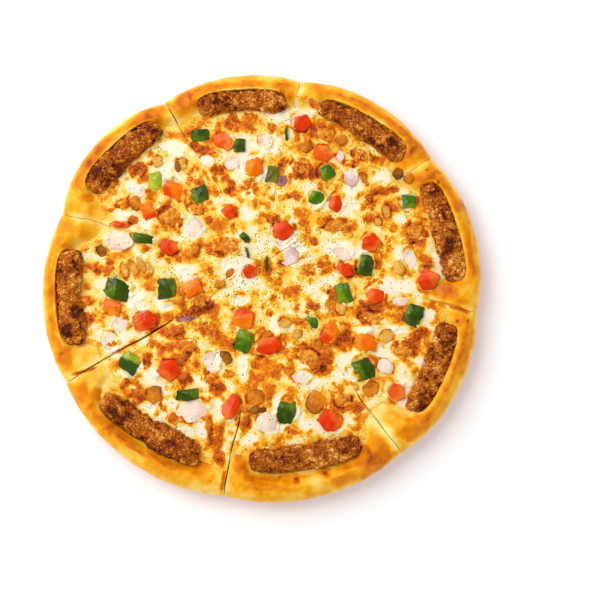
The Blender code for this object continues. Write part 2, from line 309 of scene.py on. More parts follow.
def patches(*rows: tuple[float, ...]) -> tuple[Patch, ...]:
    """Turns rows of a patch's numbers to patches."""
    return tuple(Patch(*row) for row in rows)


RAGGED_RIMS = Mottling(0.34, 5.0, 71)
RIM_LEVEL = 0.35


def patchwork(places: Sequence[Patch], x: Array, y: Array, softness: float = 0.8) -> Array:
    """Adds up patches with soft and ragged rims.

    Args:
        places: The patches.
        x, y: Places on the plan.
        softness: The share of a patch over which it fades in.

    Returns:
        The strength of the strongest patch at each place.
    """
    ragged = RAGGED_RIMS.at(x, y)
    total = np.zeros(np.shape(x))
    for patch in places:
        near = np.hypot(x - patch.x, y - patch.y) < patch.length + patch.width
        if near.any():
            depth = patch.depth(x[near], y[near]) + ragged[near]
            shown_there = patch.strength * smooth(depth / softness + RIM_LEVEL)
            total[near] = np.maximum(total[near], shown_there)
    return total


@dataclass(frozen=True)
class Kebab:
    """A kebab's middle, size and turn in millimetres and degrees, and how much it widens."""

    x: float
    y: float
    length: float
    width: float
    turn: float
    taper: float

    def outward(self) -> int:
        """Tells which of the bar's long sides faces the crust: 1 is its left one."""
        turned = math.radians(self.turn)
        return 1 if math.cos(turned) * self.y - math.sin(turned) * self.x > 0 else -1

    def along_across(self, x: Array, y: Array) -> tuple[Array, Array]:
        """Gives places as shares of the bar's half length, and of its half width out to the crust."""
        cosine, sine = math.cos(math.radians(self.turn)), math.sin(math.radians(self.turn))
        along = ((x - self.x) * cosine + (y - self.y) * sine) / (self.length / 2)
        across = (y - self.y) * cosine - (x - self.x) * sine
        across = across * self.outward() + KEBAB_BOW * np.clip(along, -1, 1) ** 2
        return along, across / (self.width / 2)

    def size_at(self, x: Array, y: Array) -> Array:
        """Gives the share of its size at which the bar's blunt outline would pass through places."""
        along, across = self.along_across(x, y)
        return (along**4 + across**4) ** 0.25

    def outside(self, x: Array, y: Array) -> Array:
        """Gives how far places lie outside the bar.

        Returns:
            Distances in millimetres, less than 0 inside.
        """
        along, across = self.along_across(x, y)
        size = self.size_at(x, y) + TINY
        lengthwise = np.abs(along / size) ** 3 / (self.length / 2)
        crosswise = np.abs(across / size) ** 3 / (self.width / 2)
        return (size - 1) / (np.hypot(lengthwise, crosswise) + TINY)


@dataclass(frozen=True)
class Cut:
    """A knife cut: its angle, the crust's reach there, its bend, and from where out it gapes.

    Half the gap's width comes from what it gapes by, from what is left where the melted cheese
    closed it, and from what is added where that parted, which the parting's blotches spread.
    """

    angle: float
    reach: float
    bend: float
    gapes_from: float
    gape: float
    closed: float = 0.012
    parted: float = 0.17
    parting: Mottling = Mottling(1.4, 16.0, 5)

    def left(self) -> Array:
        """Gives the direction to the left of the cut, looking outwards."""
        turned = math.radians(self.angle + 90)
        return np.array([math.cos(turned), math.sin(turned)])

    def sway(self, out: Array) -> Array:
        """Gives how far the knife strayed to the left at distances from the middle."""
        wander = 0.55 * np.sin(out / 9.0 + self.angle) + 0.35 * np.sin(out / 4.1 + 2 * self.angle)
        bow = self.bend * np.sin(np.pi * np.clip(out / self.reach, 0, 1))
        return (bow + wander) * fade(out, 0, 20)

    def opening(self, out: Array) -> Array:
        """Gives half the gap's width at distances from the middle: the cheese closed it in places."""
        parted = smooth(self.parting.at(out, np.full(np.shape(out), self.angle)) - 0.35)
        narrowing = 1 - 0.7 * fade(out / self.reach, 0.86, 0.98)
        gaping = fade(out, self.gapes_from, self.gapes_from + 18) * narrowing
        return self.closed + self.parted * parted + self.gape * gaping * (0.6 + 0.4 * parted)


@dataclass(frozen=True)
class Wedge:
    """The plan of one slice: rays run from its tip to the crust's outer edge.

    The corners are how far in the crust shows beside the first and the last cut.
    """

    number: int
    first: Cut
    last: Cut
    reach: float
    corners: tuple[float, float]

    @property
    def last_angle(self) -> float:
        """The angle of the last cut, counted on from the first."""
        return self.last.angle if self.last.angle > self.first.angle else self.last.angle + 360

    @property
    def tip(self) -> Array:
        """The inner end of the slice."""
        half = math.radians(self.last_angle - self.first.angle) / 2
        middle = math.radians(self.first.angle + self.last_angle) / 2
        return CUT_CENTRE + np.array([math.cos(middle), math.sin(middle)]) * TIP_GAP / math.sin(half)

    def crust_radius(self, share: Array) -> Array:
        """Gives the crust's distance from the pizza's middle at shares of the slice's angle."""
        at_cuts = self.first.reach * (1 - share) + self.last.reach * share
        swell = 1 - np.abs(2 * share - 1) ** SWELL_POWER
        return at_cuts + (self.reach - (self.first.reach + self.last.reach) / 2) * swell

    def share(self, x: Array, y: Array) -> Array:
        """Gives the share of the slice's angle at which places lie, 0 and 1 being its cuts."""
        angle = np.degrees(np.arctan2(y - CUT_CENTRE[1], x - CUT_CENTRE[0]))
        turned = np.mod(angle - self.first.angle + 60, 360) - 60
        return np.clip(turned / (self.last_angle - self.first.angle), 0, 1)

    def inset(self, x: Array, y: Array) -> Array:
        """Gives how far places lie inside the crust's outer edge."""
        return self.crust_radius(self.share(x, y)) - np.hypot(x, y)

    def depth(self, x: Array, y: Array) -> Array:
        """Gives how far places lie inside the nearer of the two cuts."""
        away_x, away_y = x - CUT_CENTRE[0], y - CUT_CENTRE[1]
        from_first = away_x * self.first.left()[0] + away_y * self.first.left()[1]
        from_last = -away_x * self.last.left()[0] - away_y * self.last.left()[1]
        return np.minimum(from_first, from_last)

    def ear(self, x: Array, y: Array) -> Array:
        """Tells how much places belong to the crust's corners, from 0 to 1 at the cuts."""
        span = EAR_SPAN + 3.0 * mottle(x, y, 12.0, 80 + self.number)
        return fade(self.depth(x, y), span, span - EAR_FADE)

    def corner(self, share: Array) -> Array:
        """Gives how far in the crust shows at the corner that is nearer at a share of the angle."""
        return np.where(share < 0.5, *self.corners)

    def cheese_edge(self, x: Array, y: Array) -> Array:
        """Gives how far inside the crust's outer edge the cheese ends."""
        return CRUST_WIDTH + (self.corner(self.share(x, y)) - CRUST_WIDTH) * self.ear(x, y)

    def crust_width(self, x: Array, y: Array) -> Array:
        """Gives how far the crust runs in: further at most corners, where no kebab lies."""
        return np.maximum(self.cheese_edge(x, y), CRUST_WIDTH)

    def crest(self, x: Array, y: Array) -> Array:
        """Gives how far the crust's crest rises over its feet, falling away gently at the corners."""
        inset = self.inset(x, y)
        half = CRUST_WIDTH / 2
        rising = np.clip(inset / CRUST_WIDTH, 0, 0.5)
        fall = np.clip((inset - half) / (self.crust_width(x, y) - half), 0, 1)
        fullness = (2 * np.sqrt(rising * (1 - rising))) ** CREST_FULLNESS
        return CRUST_CREST_RISE * fullness * (0.5 + 0.5 * np.cos(np.pi * fall))

    def length(self, share: Array) -> Array:
        """Gives the length of the rays at shares of the slice's angle."""
        angle = np.radians(self.first.angle * (1 - share) + self.last_angle * share)
        lean = self.tip[0] * np.cos(angle) + self.tip[1] * np.sin(angle)
        return -lean + np.sqrt(lean**2 - self.tip @ self.tip + self.crust_radius(share) ** 2)

    def place(self, share: Array, out: Array, parted: float = 1.0) -> tuple[Array, Array]:
        """Places points on the rays, bent where the knife strayed.

        Args:
            share: Shares of the slice's angle.
            out: Distances from the tip.
            parted: The share of the cuts' opening, which closes downwards.

        Returns:
            Places along X and along Y.
        """
        angle = np.radians(self.first.angle * (1 - share) + self.last_angle * share)
        x = self.tip[0] + np.cos(angle) * out
        y = self.tip[1] + np.sin(angle) * out
        for cut, inward, nearness in ((self.first, 1, 1 - share), (self.last, -1, share)):
            gap = parted * cut.opening(out) - TIP_GAP
            aside = cut.sway(out) + inward * gap * fade(out, 0, 8)
            x = x + nearness**3 * aside * cut.left()[0]
            y = y + nearness**3 * aside * cut.left()[1]
        return x, y


class Shell:
    """The points and faces of a piece while it is being made, in millimetres."""

    def __init__(self) -> None:
        """Starts with nothing."""
        self.points: list[Array] = []
        self.faces: list[Array] = []
        self.count = 0

    def add_points(self, places: Array) -> Array:
        """Adds points.

        Args:
            places: Their X, Y and Z in the last axis.

        Returns:
            Their numbers, in the same layout.
        """
        layout = places.shape[:-1]
        numbers = np.arange(self.count, self.count + math.prod(layout)).reshape(layout)
        self.points.append(places.reshape(-1, 3))
        self.count += numbers.size
        return numbers

    def add_faces(self, *corners: Array) -> None:
        """Adds faces, each argument being one corner of all of them."""
        self.faces.append(np.stack([np.ravel(corner) for corner in corners], axis=1))

    def add_grid(self, numbers: Array) -> None:
        """Adds a face between each four neighbours in rows and columns of points."""
        self.add_faces(numbers[:-1, :-1], numbers[1:, :-1], numbers[1:, 1:], numbers[:-1, 1:])

    def add_tube(self, rings: Array, middle: Array | None = None) -> None:
        """Adds rings of points with the faces between them, closed by a fan at both ends.

        Args:
            rings: X, Y and Z of the points, ring by ring.
            middle: X and Y of the fans' middles, where they aren't the end rings' own.
        """
        numbers = self.add_points(rings)
        closed = np.concatenate([numbers, numbers[:, :1]], axis=1)
        self.add_grid(closed)
        for end in (0, -1):
            centre = rings[end].mean(axis=0)
            if middle is not None:
                centre[:2] = middle
            number = self.add_points(centre[None])
            hub = np.broadcast_to(number, closed[end, 1:].shape)
            self.add_faces(hub, closed[end, :-1], closed[end, 1:])

    def all_points(self) -> Array:
        """Gives every point in one list."""
        return np.concatenate(self.points)

    def object(self, name: str, attributes: dict[str, Array]) -> Object:
        """Makes the piece.

        Args:
            name: The name of the piece.
            attributes: A number for each point, by name.

        Returns:
            The object, closed and with its faces pointing out.
        """
        mesh = bpy.data.meshes.new(name)
        sizes = np.concatenate([np.full(len(group), group.shape[1]) for group in self.faces])
        corners = np.concatenate([group.ravel() for group in self.faces])
        mesh.vertices.add(self.count)
        mesh.vertices.foreach_set("co", (self.all_points() * MM).ravel().astype(np.float32))
        mesh.loops.add(len(corners))
        mesh.loops.foreach_set("vertex_index", corners.astype(np.int32))
        mesh.polygons.add(len(sizes))
        mesh.polygons.foreach_set("loop_start", (np.cumsum(sizes) - sizes).astype(np.int32))
        mesh.update(calc_edges=True)
        for key, values in attributes.items():
            layer = mesh.attributes.new(key, "FLOAT", "POINT")
            layer.data.foreach_set("value", np.asarray(values, np.float32))
        turn_outwards(mesh)
        return shown(name, mesh)


def turn_outwards(mesh: Mesh) -> None:
    """Points a closed mesh's faces outwards."""
    bm = bmesh.new()
    bm.from_mesh(mesh)
    bmesh.ops.recalc_face_normals(bm, faces=bm.faces)
    if bm.calc_volume(signed=True) < 0:
        bmesh.ops.reverse_faces(bm, faces=bm.faces)
    bm.to_mesh(mesh)
    bm.free()


def shown(name: str, mesh: Mesh) -> Object:
    """Puts a smooth-shaded mesh in the scene as an object at the origin.

    Args:
        name: The name of the piece.
        mesh: Its mesh, in metres.

    Returns:
        The object.
    """
    mesh.shade_smooth()
    thing = bpy.data.objects.new(name, mesh)
    bpy.context.scene.collection.objects.link(thing)
    return thing


def finished(thing: Object, material: Material, slot: str, *nodes: str) -> Object:
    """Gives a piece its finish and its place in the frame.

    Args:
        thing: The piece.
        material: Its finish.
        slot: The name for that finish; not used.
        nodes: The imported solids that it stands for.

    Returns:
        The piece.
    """
    thing.data.materials.clear()
    thing.data.materials.append(material)
    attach(thing, BODY)
    if nodes:
        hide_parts(*nodes)
    log.info("%s: %d faces", thing.name, len(thing.data.polygons))
    return thing


def add(
    tree: NodeTree,
    kind: str,
    inputs: dict | None = None,
    stops: Sequence[tuple[float, str]] = (),
    **settings: object,
) -> Node:
    """Adds a node with its settings and links.

    Sockets that share their name with others go by number: a mix node's colours are 6 and 7 and
    its result output 2, and a random value's limits are 2 and 3 and its result output 1.

    Args:
        tree: The node tree.
        kind: The node's type.
        inputs: A value, or the output that feeds it, for each input socket.
        stops: A colour ramp's places and colours.
        settings: The node's other settings.

    Returns:
        The node.
    """
    node = tree.nodes.new(kind)
    for key, value in settings.items():
        setattr(node, key, value)
    for key, value in (inputs or {}).items():
        if isinstance(value, NodeSocket):
            tree.links.new(value, node.inputs[key])
        else:
            node.inputs[key].default_value = value
    for number, (place, colour) in enumerate(stops):
        elements = node.color_ramp.elements
        element = elements[number] if number < 2 else elements.new(place)
        element.position = place
        element.color = linear(colour)
    return node


@dataclass(frozen=True)
class Finish:
    """What the finishes share. Their grains are in millimetres, and their tones are a ramp's stops."""

    name: str
    roughness: float = 0.45

    def begin(self, **values: object) -> tuple[Material, NodeTree, Node]:
        """Starts a material.

        Args:
            values: More of the shader's values, with _ for the spaces in their names.

        Returns:
            The material, its tree and its shader.
        """
        material = bpy.data.materials.new(self.name)
        material.use_nodes = True
        tree = material.node_tree
        shader = tree.nodes["Principled BSDF"]
        shader.inputs["Roughness"].default_value = self.roughness
        for key, value in values.items():
            shader.inputs[key.replace("_", " ")].default_value = value
        return material, tree, shader


def grain(tree: NodeTree, size: float, detail: float = 3.0) -> NodeSocket:
    """Adds a pattern on the object's own coordinates.

    Args:
        tree: The material's tree.
        size: The size of its blotches in millimetres.
        detail: How many times finer blotches are added.

    Returns:
        The pattern, from 0 to 1.
    """
    place = add(tree, "ShaderNodeTexCoord").outputs["Object"]
    inputs = {"Vector": place, "Scale": 1 / (size * MM), "Detail": detail}
    return add(tree, "ShaderNodeTexNoise", inputs).outputs["Fac"]


@dataclass(frozen=True)
class MeltedCheese(Finish):
    """Baked mozzarella: cream where it pooled, yellow where it dried and brown where it blistered."""

    name: str = "melted mozzarella"
    roughness: float = 0.38
    curd: float = 1.5
    sauce: str = "D8531A"
    tones: tuple[tuple[float, str], ...] = (
        (0.0, "FFF1D4"), (0.12, "FFEAB4"), (0.22, "FEDD7C"), (0.31, "FCCD48"), (0.38, "F8B224"),
        (0.46, "F08E0C"), (0.55, "E27406"), (0.68, "C65804"), (0.84, "8C3200"), (1.0, "4C1A00"),
    )

    def material(self) -> Material:
        """Makes the material: milk fat gives it a soft gloss, and browned places are grainier.

        Returns:
            The material, which reads how baked each point is and how much sauce shows there.
        """
        material, tree, shader = self.begin(
            Subsurface_Weight=0.1, Subsurface_Scale=1.5 * MM, Specular_IOR_Level=0.18
        )
        shader.inputs["Subsurface Radius"].default_value = (1.0, 0.7, 0.4)
        fine = grain(tree, self.curd)
        ripple = add(tree, "ShaderNodeMath", {0: fine, 1: 0.5}, operation="SUBTRACT").outputs[0]
        baked = add(tree, "ShaderNodeAttribute", attribute_name="baked").outputs["Fac"]
        sauce = add(tree, "ShaderNodeAttribute", attribute_name="sauce").outputs["Fac"]
        rough = add(tree, "ShaderNodeMapRange", {0: baked, 1: 0.1, 2: 0.6, 3: 0.2, 4: 0.55})
        terms = {0: ripple, 1: rough.outputs[0], 2: baked}
        shade = add(tree, "ShaderNodeMath", terms, operation="MULTIPLY_ADD")
        mixed = add(tree, "ShaderNodeValToRGB", {0: shade.outputs[0]}, stops=self.tones)
        colours = {0: sauce, 6: mixed.outputs[0], 7: linear(self.sauce)}
        side = add(tree, "ShaderNodeMix", colours, data_type="RGBA")
        tree.links.new(side.outputs[2], shader.inputs["Base Color"])
        bump = add(tree, "ShaderNodeBump", {"Strength": 0.5, "Distance": 0.5 * MM, "Height": fine})
        tree.links.new(bump.outputs[0], shader.inputs["Normal"])
        return material


@dataclass(frozen=True)
class BakedCrust(Finish):
    """Oiled wheat crust: golden, darker where blistered, pale where cut, with a painted rim highlight.
    """

    name: str = "baked wheat crust"
    roughness: float = 0.42
    blotches: float = 9.0
    pores: float = 1.4
    crumb: str = "F6DFA8"
    fried: str = "C77E28"
    tones: tuple[tuple[float, str], ...] = (
        (0.0, "FFE594"), (0.2, "FECA4C"), (0.4, "FAAE12"), (0.58, "EF9200"),
        (0.74, "D87202"), (0.88, "A84C02"), (1.0, "6A2C02"),
    )

    def material(self) -> Material:
        """Makes the material: the oil gives it a satin gloss, and the crumb at a cut is dull and pale.

        Returns:
            The material, which reads how brown each point is and how much it is crumb or fried.
        """
        material, tree, shader = self.begin(Specular_IOR_Level=0.15)
        blotch = grain(tree, self.blotches, 4.0)
        fine = grain(tree, self.pores)
        baked = add(tree, "ShaderNodeAttribute", attribute_name="brown").outputs["Fac"]
        inner = add(tree, "ShaderNodeAttribute", attribute_name="crumb").outputs["Fac"]
        under = add(tree, "ShaderNodeAttribute", attribute_name="fried").outputs["Fac"]
        ripple = add(tree, "ShaderNodeMath", {0: blotch, 1: 0.5}, operation="SUBTRACT").outputs[0]
        terms = {0: ripple, 1: 0.4, 2: baked}
        brown = add(tree, "ShaderNodeMath", terms, operation="MULTIPLY_ADD")
        skin = add(tree, "ShaderNodeValToRGB", {0: brown.outputs[0]}, stops=self.tones)
        colours = {0: inner, 6: skin.outputs[0], 7: linear(self.crumb)}
        crumb = add(tree, "ShaderNodeMix", colours, data_type="RGBA")
        colours = {0: under, 6: crumb.outputs[2], 7: linear(self.fried)}
        fried = add(tree, "ShaderNodeMix", colours, data_type="RGBA")
        tree.links.new(fried.outputs[2], shader.inputs["Base Color"])
        bump = add(tree, "ShaderNodeBump", {"Strength": 0.3, "Distance": 0.4 * MM, "Height": fine})
        tree.links.new(bump.outputs[0], shader.inputs["Normal"])
        return material


@dataclass(frozen=True)
class GrilledKebab(Finish):
    """Minced meat, pressed and grilled: brown granules and charred places, with painted light, shade
    and glints.
    """

    name: str = "grilled minced kebab"
    roughness: float = 0.46
    granules: float = 1.5
    glint_size: float = 1.1
    tones: tuple[tuple[float, str], ...] = (
        (0.0, "541A00"), (0.18, "863A00"), (0.36, "A85204"),
        (0.55, "C46C0C"), (0.75, "E29834"), (1.0, "FCD08C"),
    )

    def material(self) -> Material:
        """Makes the material: pale specks painted into its colour stand in for glints on its granules.

        Returns:
            The material, which reads each point's tone from charred to pale.
        """
        material, tree, shader = self.begin(Specular_IOR_Level=0.12)
        fine = grain(tree, self.granules, 4.0)
        own = add(tree, "ShaderNodeAttribute", attribute_name="tone").outputs["Fac"]
        ripple = add(tree, "ShaderNodeMath", {0: fine, 1: 0.5}, operation="SUBTRACT").outputs[0]
        terms = {0: ripple, 1: 1.2, 2: own}
        tone = add(tree, "ShaderNodeMath", terms, operation="MULTIPLY_ADD")
        # Painted glints: pale specks added to the tone stand in for light caught on moist granules.
        spots = grain(tree, self.glint_size, 2.0)
        painted_glints = add(tree, "ShaderNodeMapRange", {0: spots, 1: 0.58, 2: 0.68, 3: 0.0, 4: 0.42})
        tone_with_glints = add(tree, "ShaderNodeMath", {0: tone.outputs[0], 1: painted_glints.outputs[0]}, operation="ADD")
        meat = add(tree, "ShaderNodeValToRGB", {0: tone_with_glints.outputs[0]}, stops=self.tones)
        tree.links.new(meat.outputs[0], shader.inputs["Base Color"])
        bump = add(tree, "ShaderNodeBump", {"Strength": 0.9, "Distance": 0.6 * MM, "Height": fine})
        tree.links.new(bump.outputs[0], shader.inputs["Normal"])
        return material


@dataclass(frozen=True)
class Diced(Finish):
    """A diced topping: the colours of its skin, of its cut sides and of the end that differs.

    The coat is how wet it is, its patches are in millimetres, and the rest is how far they show.
    """

    skin: str = "F0300F"
    side: str = "B81E08"
    other: str = "F0300F"
    coat: float = 0.16
    patch_size: float = 5.0
    bump: float = 0.15
    blotches: float = 0.42

    def material(self) -> Material:
        """Makes the material: a wet skin over soft flesh, so its gloss is a thin clear coat.

        Returns:
            The material, which reads each point's tone and how much it is a cut side.
        """
        material, tree, shader = self.begin(
            Coat_Weight=self.coat,
            Coat_Roughness=0.08,
            Specular_IOR_Level=0.1,
            Subsurface_Weight=0.05,
            Subsurface_Scale=1.0 * MM,
        )
        tone = add(tree, "ShaderNodeAttribute", attribute_name="tone").outputs["Fac"]
        rim = add(tree, "ShaderNodeAttribute", attribute_name="rim").outputs["Fac"]
        blotch = grain(tree, self.patch_size)
        shade = add(tree, "ShaderNodeMapRange", {0: blotch, 1: 0.35, 2: 0.65, 3: 0.0, 4: self.blotches})
        colours = {0: tone, 6: linear(self.skin), 7: linear(self.other)}
        ends = add(tree, "ShaderNodeMix", colours, data_type="RGBA")
        colours = {0: shade.outputs[0], 6: ends.outputs[2], 7: linear(self.side)}
        uneven = add(tree, "ShaderNodeMix", colours, data_type="RGBA")
        colours = {0: rim, 6: uneven.outputs[2], 7: linear(self.side)}
        edge = add(tree, "ShaderNodeMix", colours, data_type="RGBA")
        tree.links.new(edge.outputs[2], shader.inputs["Base Color"])
        fine = grain(tree, 0.9, 2.0)
        relief_inputs = {"Strength": self.bump, "Distance": 0.4 * MM, "Height": fine}
        bump = add(tree, "ShaderNodeBump", relief_inputs)
        tree.links.new(bump.outputs[0], shader.inputs["Normal"])
        return material


@dataclass(frozen=True)
class DriedHerb(Finish):
    """Crushed oregano and black pepper: dull, dark olive specks."""

    name: str = "dried oregano"
    roughness: float = 0.8

    def material(self) -> Material:
        """Makes the material: each speck has its own shade of olive or brown.

        Returns:
            The material.
        """
        material, tree, shader = self.begin()
        olives = ((0.3, "2E1A04"), (0.5, "4A3406"), (0.7, "6A5A14"))
        colour = add(tree, "ShaderNodeValToRGB", {0: grain(tree, 2.5, 1.0)}, stops=olives)
        tree.links.new(colour.outputs[0], shader.inputs["Base Color"])
        return material


@dataclass(frozen=True)
class StudioFloor(Finish):
    """A plain matt white sweep."""

    name: str = "white studio floor"
    roughness: float = 0.9

    def material(self) -> Material:
        """Makes the material: matt paper with a grain too faint to see.

        Returns:
            The material, which shines a little to lift the shadows.
        """
        material, tree, shader = self.begin(Emission_Color=linear("FFFFFF"), Emission_Strength=0.14)
        whites = ((0.0, "F8F8F8"), (1.0, "FBFBFB"))
        tint = add(tree, "ShaderNodeValToRGB", {0: grain(tree, 4.0)}, stops=whites)
        tree.links.new(tint.outputs[0], shader.inputs["Base Color"])
        return material


class Look(Enum):
    """The finishes of the diced toppings."""

    RED = Diced("red pepper", 0.3, "EE3C00", "A41C00", "FC7020")
    SALMON = Diced("pale red pepper", 0.3, "F6620E", "D03C00", "FC9038")
    EMBER = Diced("orange-red pepper", 0.3, "F44600", "B82C00", "FA7820")
    ORANGE = Diced("orange pepper", 0.32, "F87402", "D24C00", "FE9818")
    ORANGE_RED = Diced("orange pepper with a red side", 0.32, "FC8406", "D24002", "EE4002")
    GREEN = Diced("green pepper", 0.2, "3C5800", "141F00", "66840A", coat=0.3, blotches=0.6)
    BRIGHT = Diced("bright green pepper", 0.22, "507C00", "1E3E00", "86A610", coat=0.3, blotches=0.6)
    LIME = Diced("lime green pepper", 0.3, "A8BC18", "5E8404", "CCD040", coat=0.4)
    HALF_LIME = Diced("green pepper with pale flesh", 0.22, "345404", "1E3800", "B8C428", coat=0.5)
    OLIVE = Diced("olive green pepper", 0.3, "66660C", "3E4200", "8C8414", coat=0.4)
    ONION = Diced("white onion", 0.3, "FBE9D2", "E2BF9E", "F2D4C6", coat=0.3, bump=0.1)
    LILAC = Diced("lilac onion", 0.3, "F6DCD2", "C09694", "E6BCB8", coat=0.3, bump=0.1)
    PURPLE = Diced("purple onion skin", 0.3, "A66A6E", "6E3844", "C89698", 0.3, 4.0, 0.1)
    MUSHROOM = Diced("baked mushroom", 0.5, "E68818", "904402", "C66A08", 0.1, 3.0, 0.3, 0.4)
    TAN = Diced("pale mushroom", 0.5, "F4BA50", "A65A06", "E2921E", 0.1, 3.0, 0.3, 0.4)
    DARK = Diced("dark mushroom", 0.5, "B46C18", "50260A", "8A4A0A", 0.1, 3.0, 0.3, 0.4)
    CHICKEN = Diced("spiced chicken", 0.5, "FBAE38", "C66404", "EE8E1C", 0.1, 2.0, 0.7, 0.8)


class Kind(Enum):
    """How a topping is diced, in millimetres.

    After its name, which its solids' names start with, and its usual look come how many corners it is
    cut to, how thick it is, how deep it sank into the cheese, how far its middle stands over its rim,
    how rough it is, the share of half an edge that a corner's round takes, how much higher the cheese
    climbs in places round it, how steeply it folds, and how many times wider than its solid it is.
    """

    RED_PEPPER = ("red_pepper", Look.RED, 5, 5.4, 2.0, 0.5, 0.16, 0.13, 2.2, 0.14, 1.06)
    ORANGE_PEPPER = ("orange_pepper", Look.ORANGE, 4, 5.4, 2.0, 0.5, 0.16, 0.13, 2.2, 0.14, 1.06)
    GREEN_PEPPER = ("green_pepper", Look.GREEN, 4, 5.2, 1.9, 1.2, 0.22, 0.2, 2.0, 0.24, 1.06)
    ONION = ("onion", Look.ONION, 6, 3.8, 2.1, 0.1, 0.22, 0.5, 1.6, 0.03, 1.18)
    MUSHROOM = ("mushroom", Look.MUSHROOM, 5, 4.6, 2.2, 0.4, 0.35, 0.55, 1.6, 0.06, 1.08)
    CHICKEN = ("chicken", Look.CHICKEN, 7, 5.0, 3.4, 0.8, 0.8, 0.7, 1.4, 0.0, 1.0)

    def __init__(self, slot: str, look: Look, corners: int, *sizes: float) -> None:
        """Names the numbers of each kind."""
        self.slot, self.look, self.corners = slot, look, corners
        self.thickness, self.sunk, self.crown, self.rough = sizes[:4]
        self.rounded, self.creep, self.fold, self.spread = sizes[4:]


# The slices' cuts, the reach of their crust and their kebabs, anticlockwise from the upper right.
CUTS = (
    Cut(31.7, 145.8, 0.8, 120, 0.2),
    Cut(79.0, 142.6, 2.6, 125, 0.15),
    Cut(122.8, 141.8, -1.0, 96, 0.6),
    Cut(166.8, 144.6, 0.8, 102, 0.45),
    Cut(211.1, 149.4, 1.2, 70, 1.5),
    Cut(259.8, 146.3, 1.8, 100, 1.2),
    Cut(305.3, 149.8, -0.8, 100, 0.9),
    Cut(346.6, 149.1, 1.0, 108, 0.35),
)
REACHES = (148, 145, 149.5, 150.3, 150.6, 150, 153, 151)
CORNERS = ((28, 9), (16, 20), (18, 27), (31, 31), (33, 17), (31, 35), (35, 23), (33, 27))
KEBABS = (
    Kebab(70.5, 108.5, 66, 16, -30, 0.1),
    Kebab(-13, 126.5, 60, 15, 3, -0.03),
    Kebab(-95.5, 89.5, 63, 17, 43, -0.12),
    Kebab(-131, -7.5, 65, 18.5, 92, 0.04),
    Kebab(-77, -98.5, 76, 19, -31, 0.15),
    Kebab(30.5, -116.5, 77, 18, 9, 0.03),
    Kebab(118.5, -56.5, 64, 17, 67, 0.06),
    Kebab(126, 37.5, 69, 17, -73, 0.1),
)

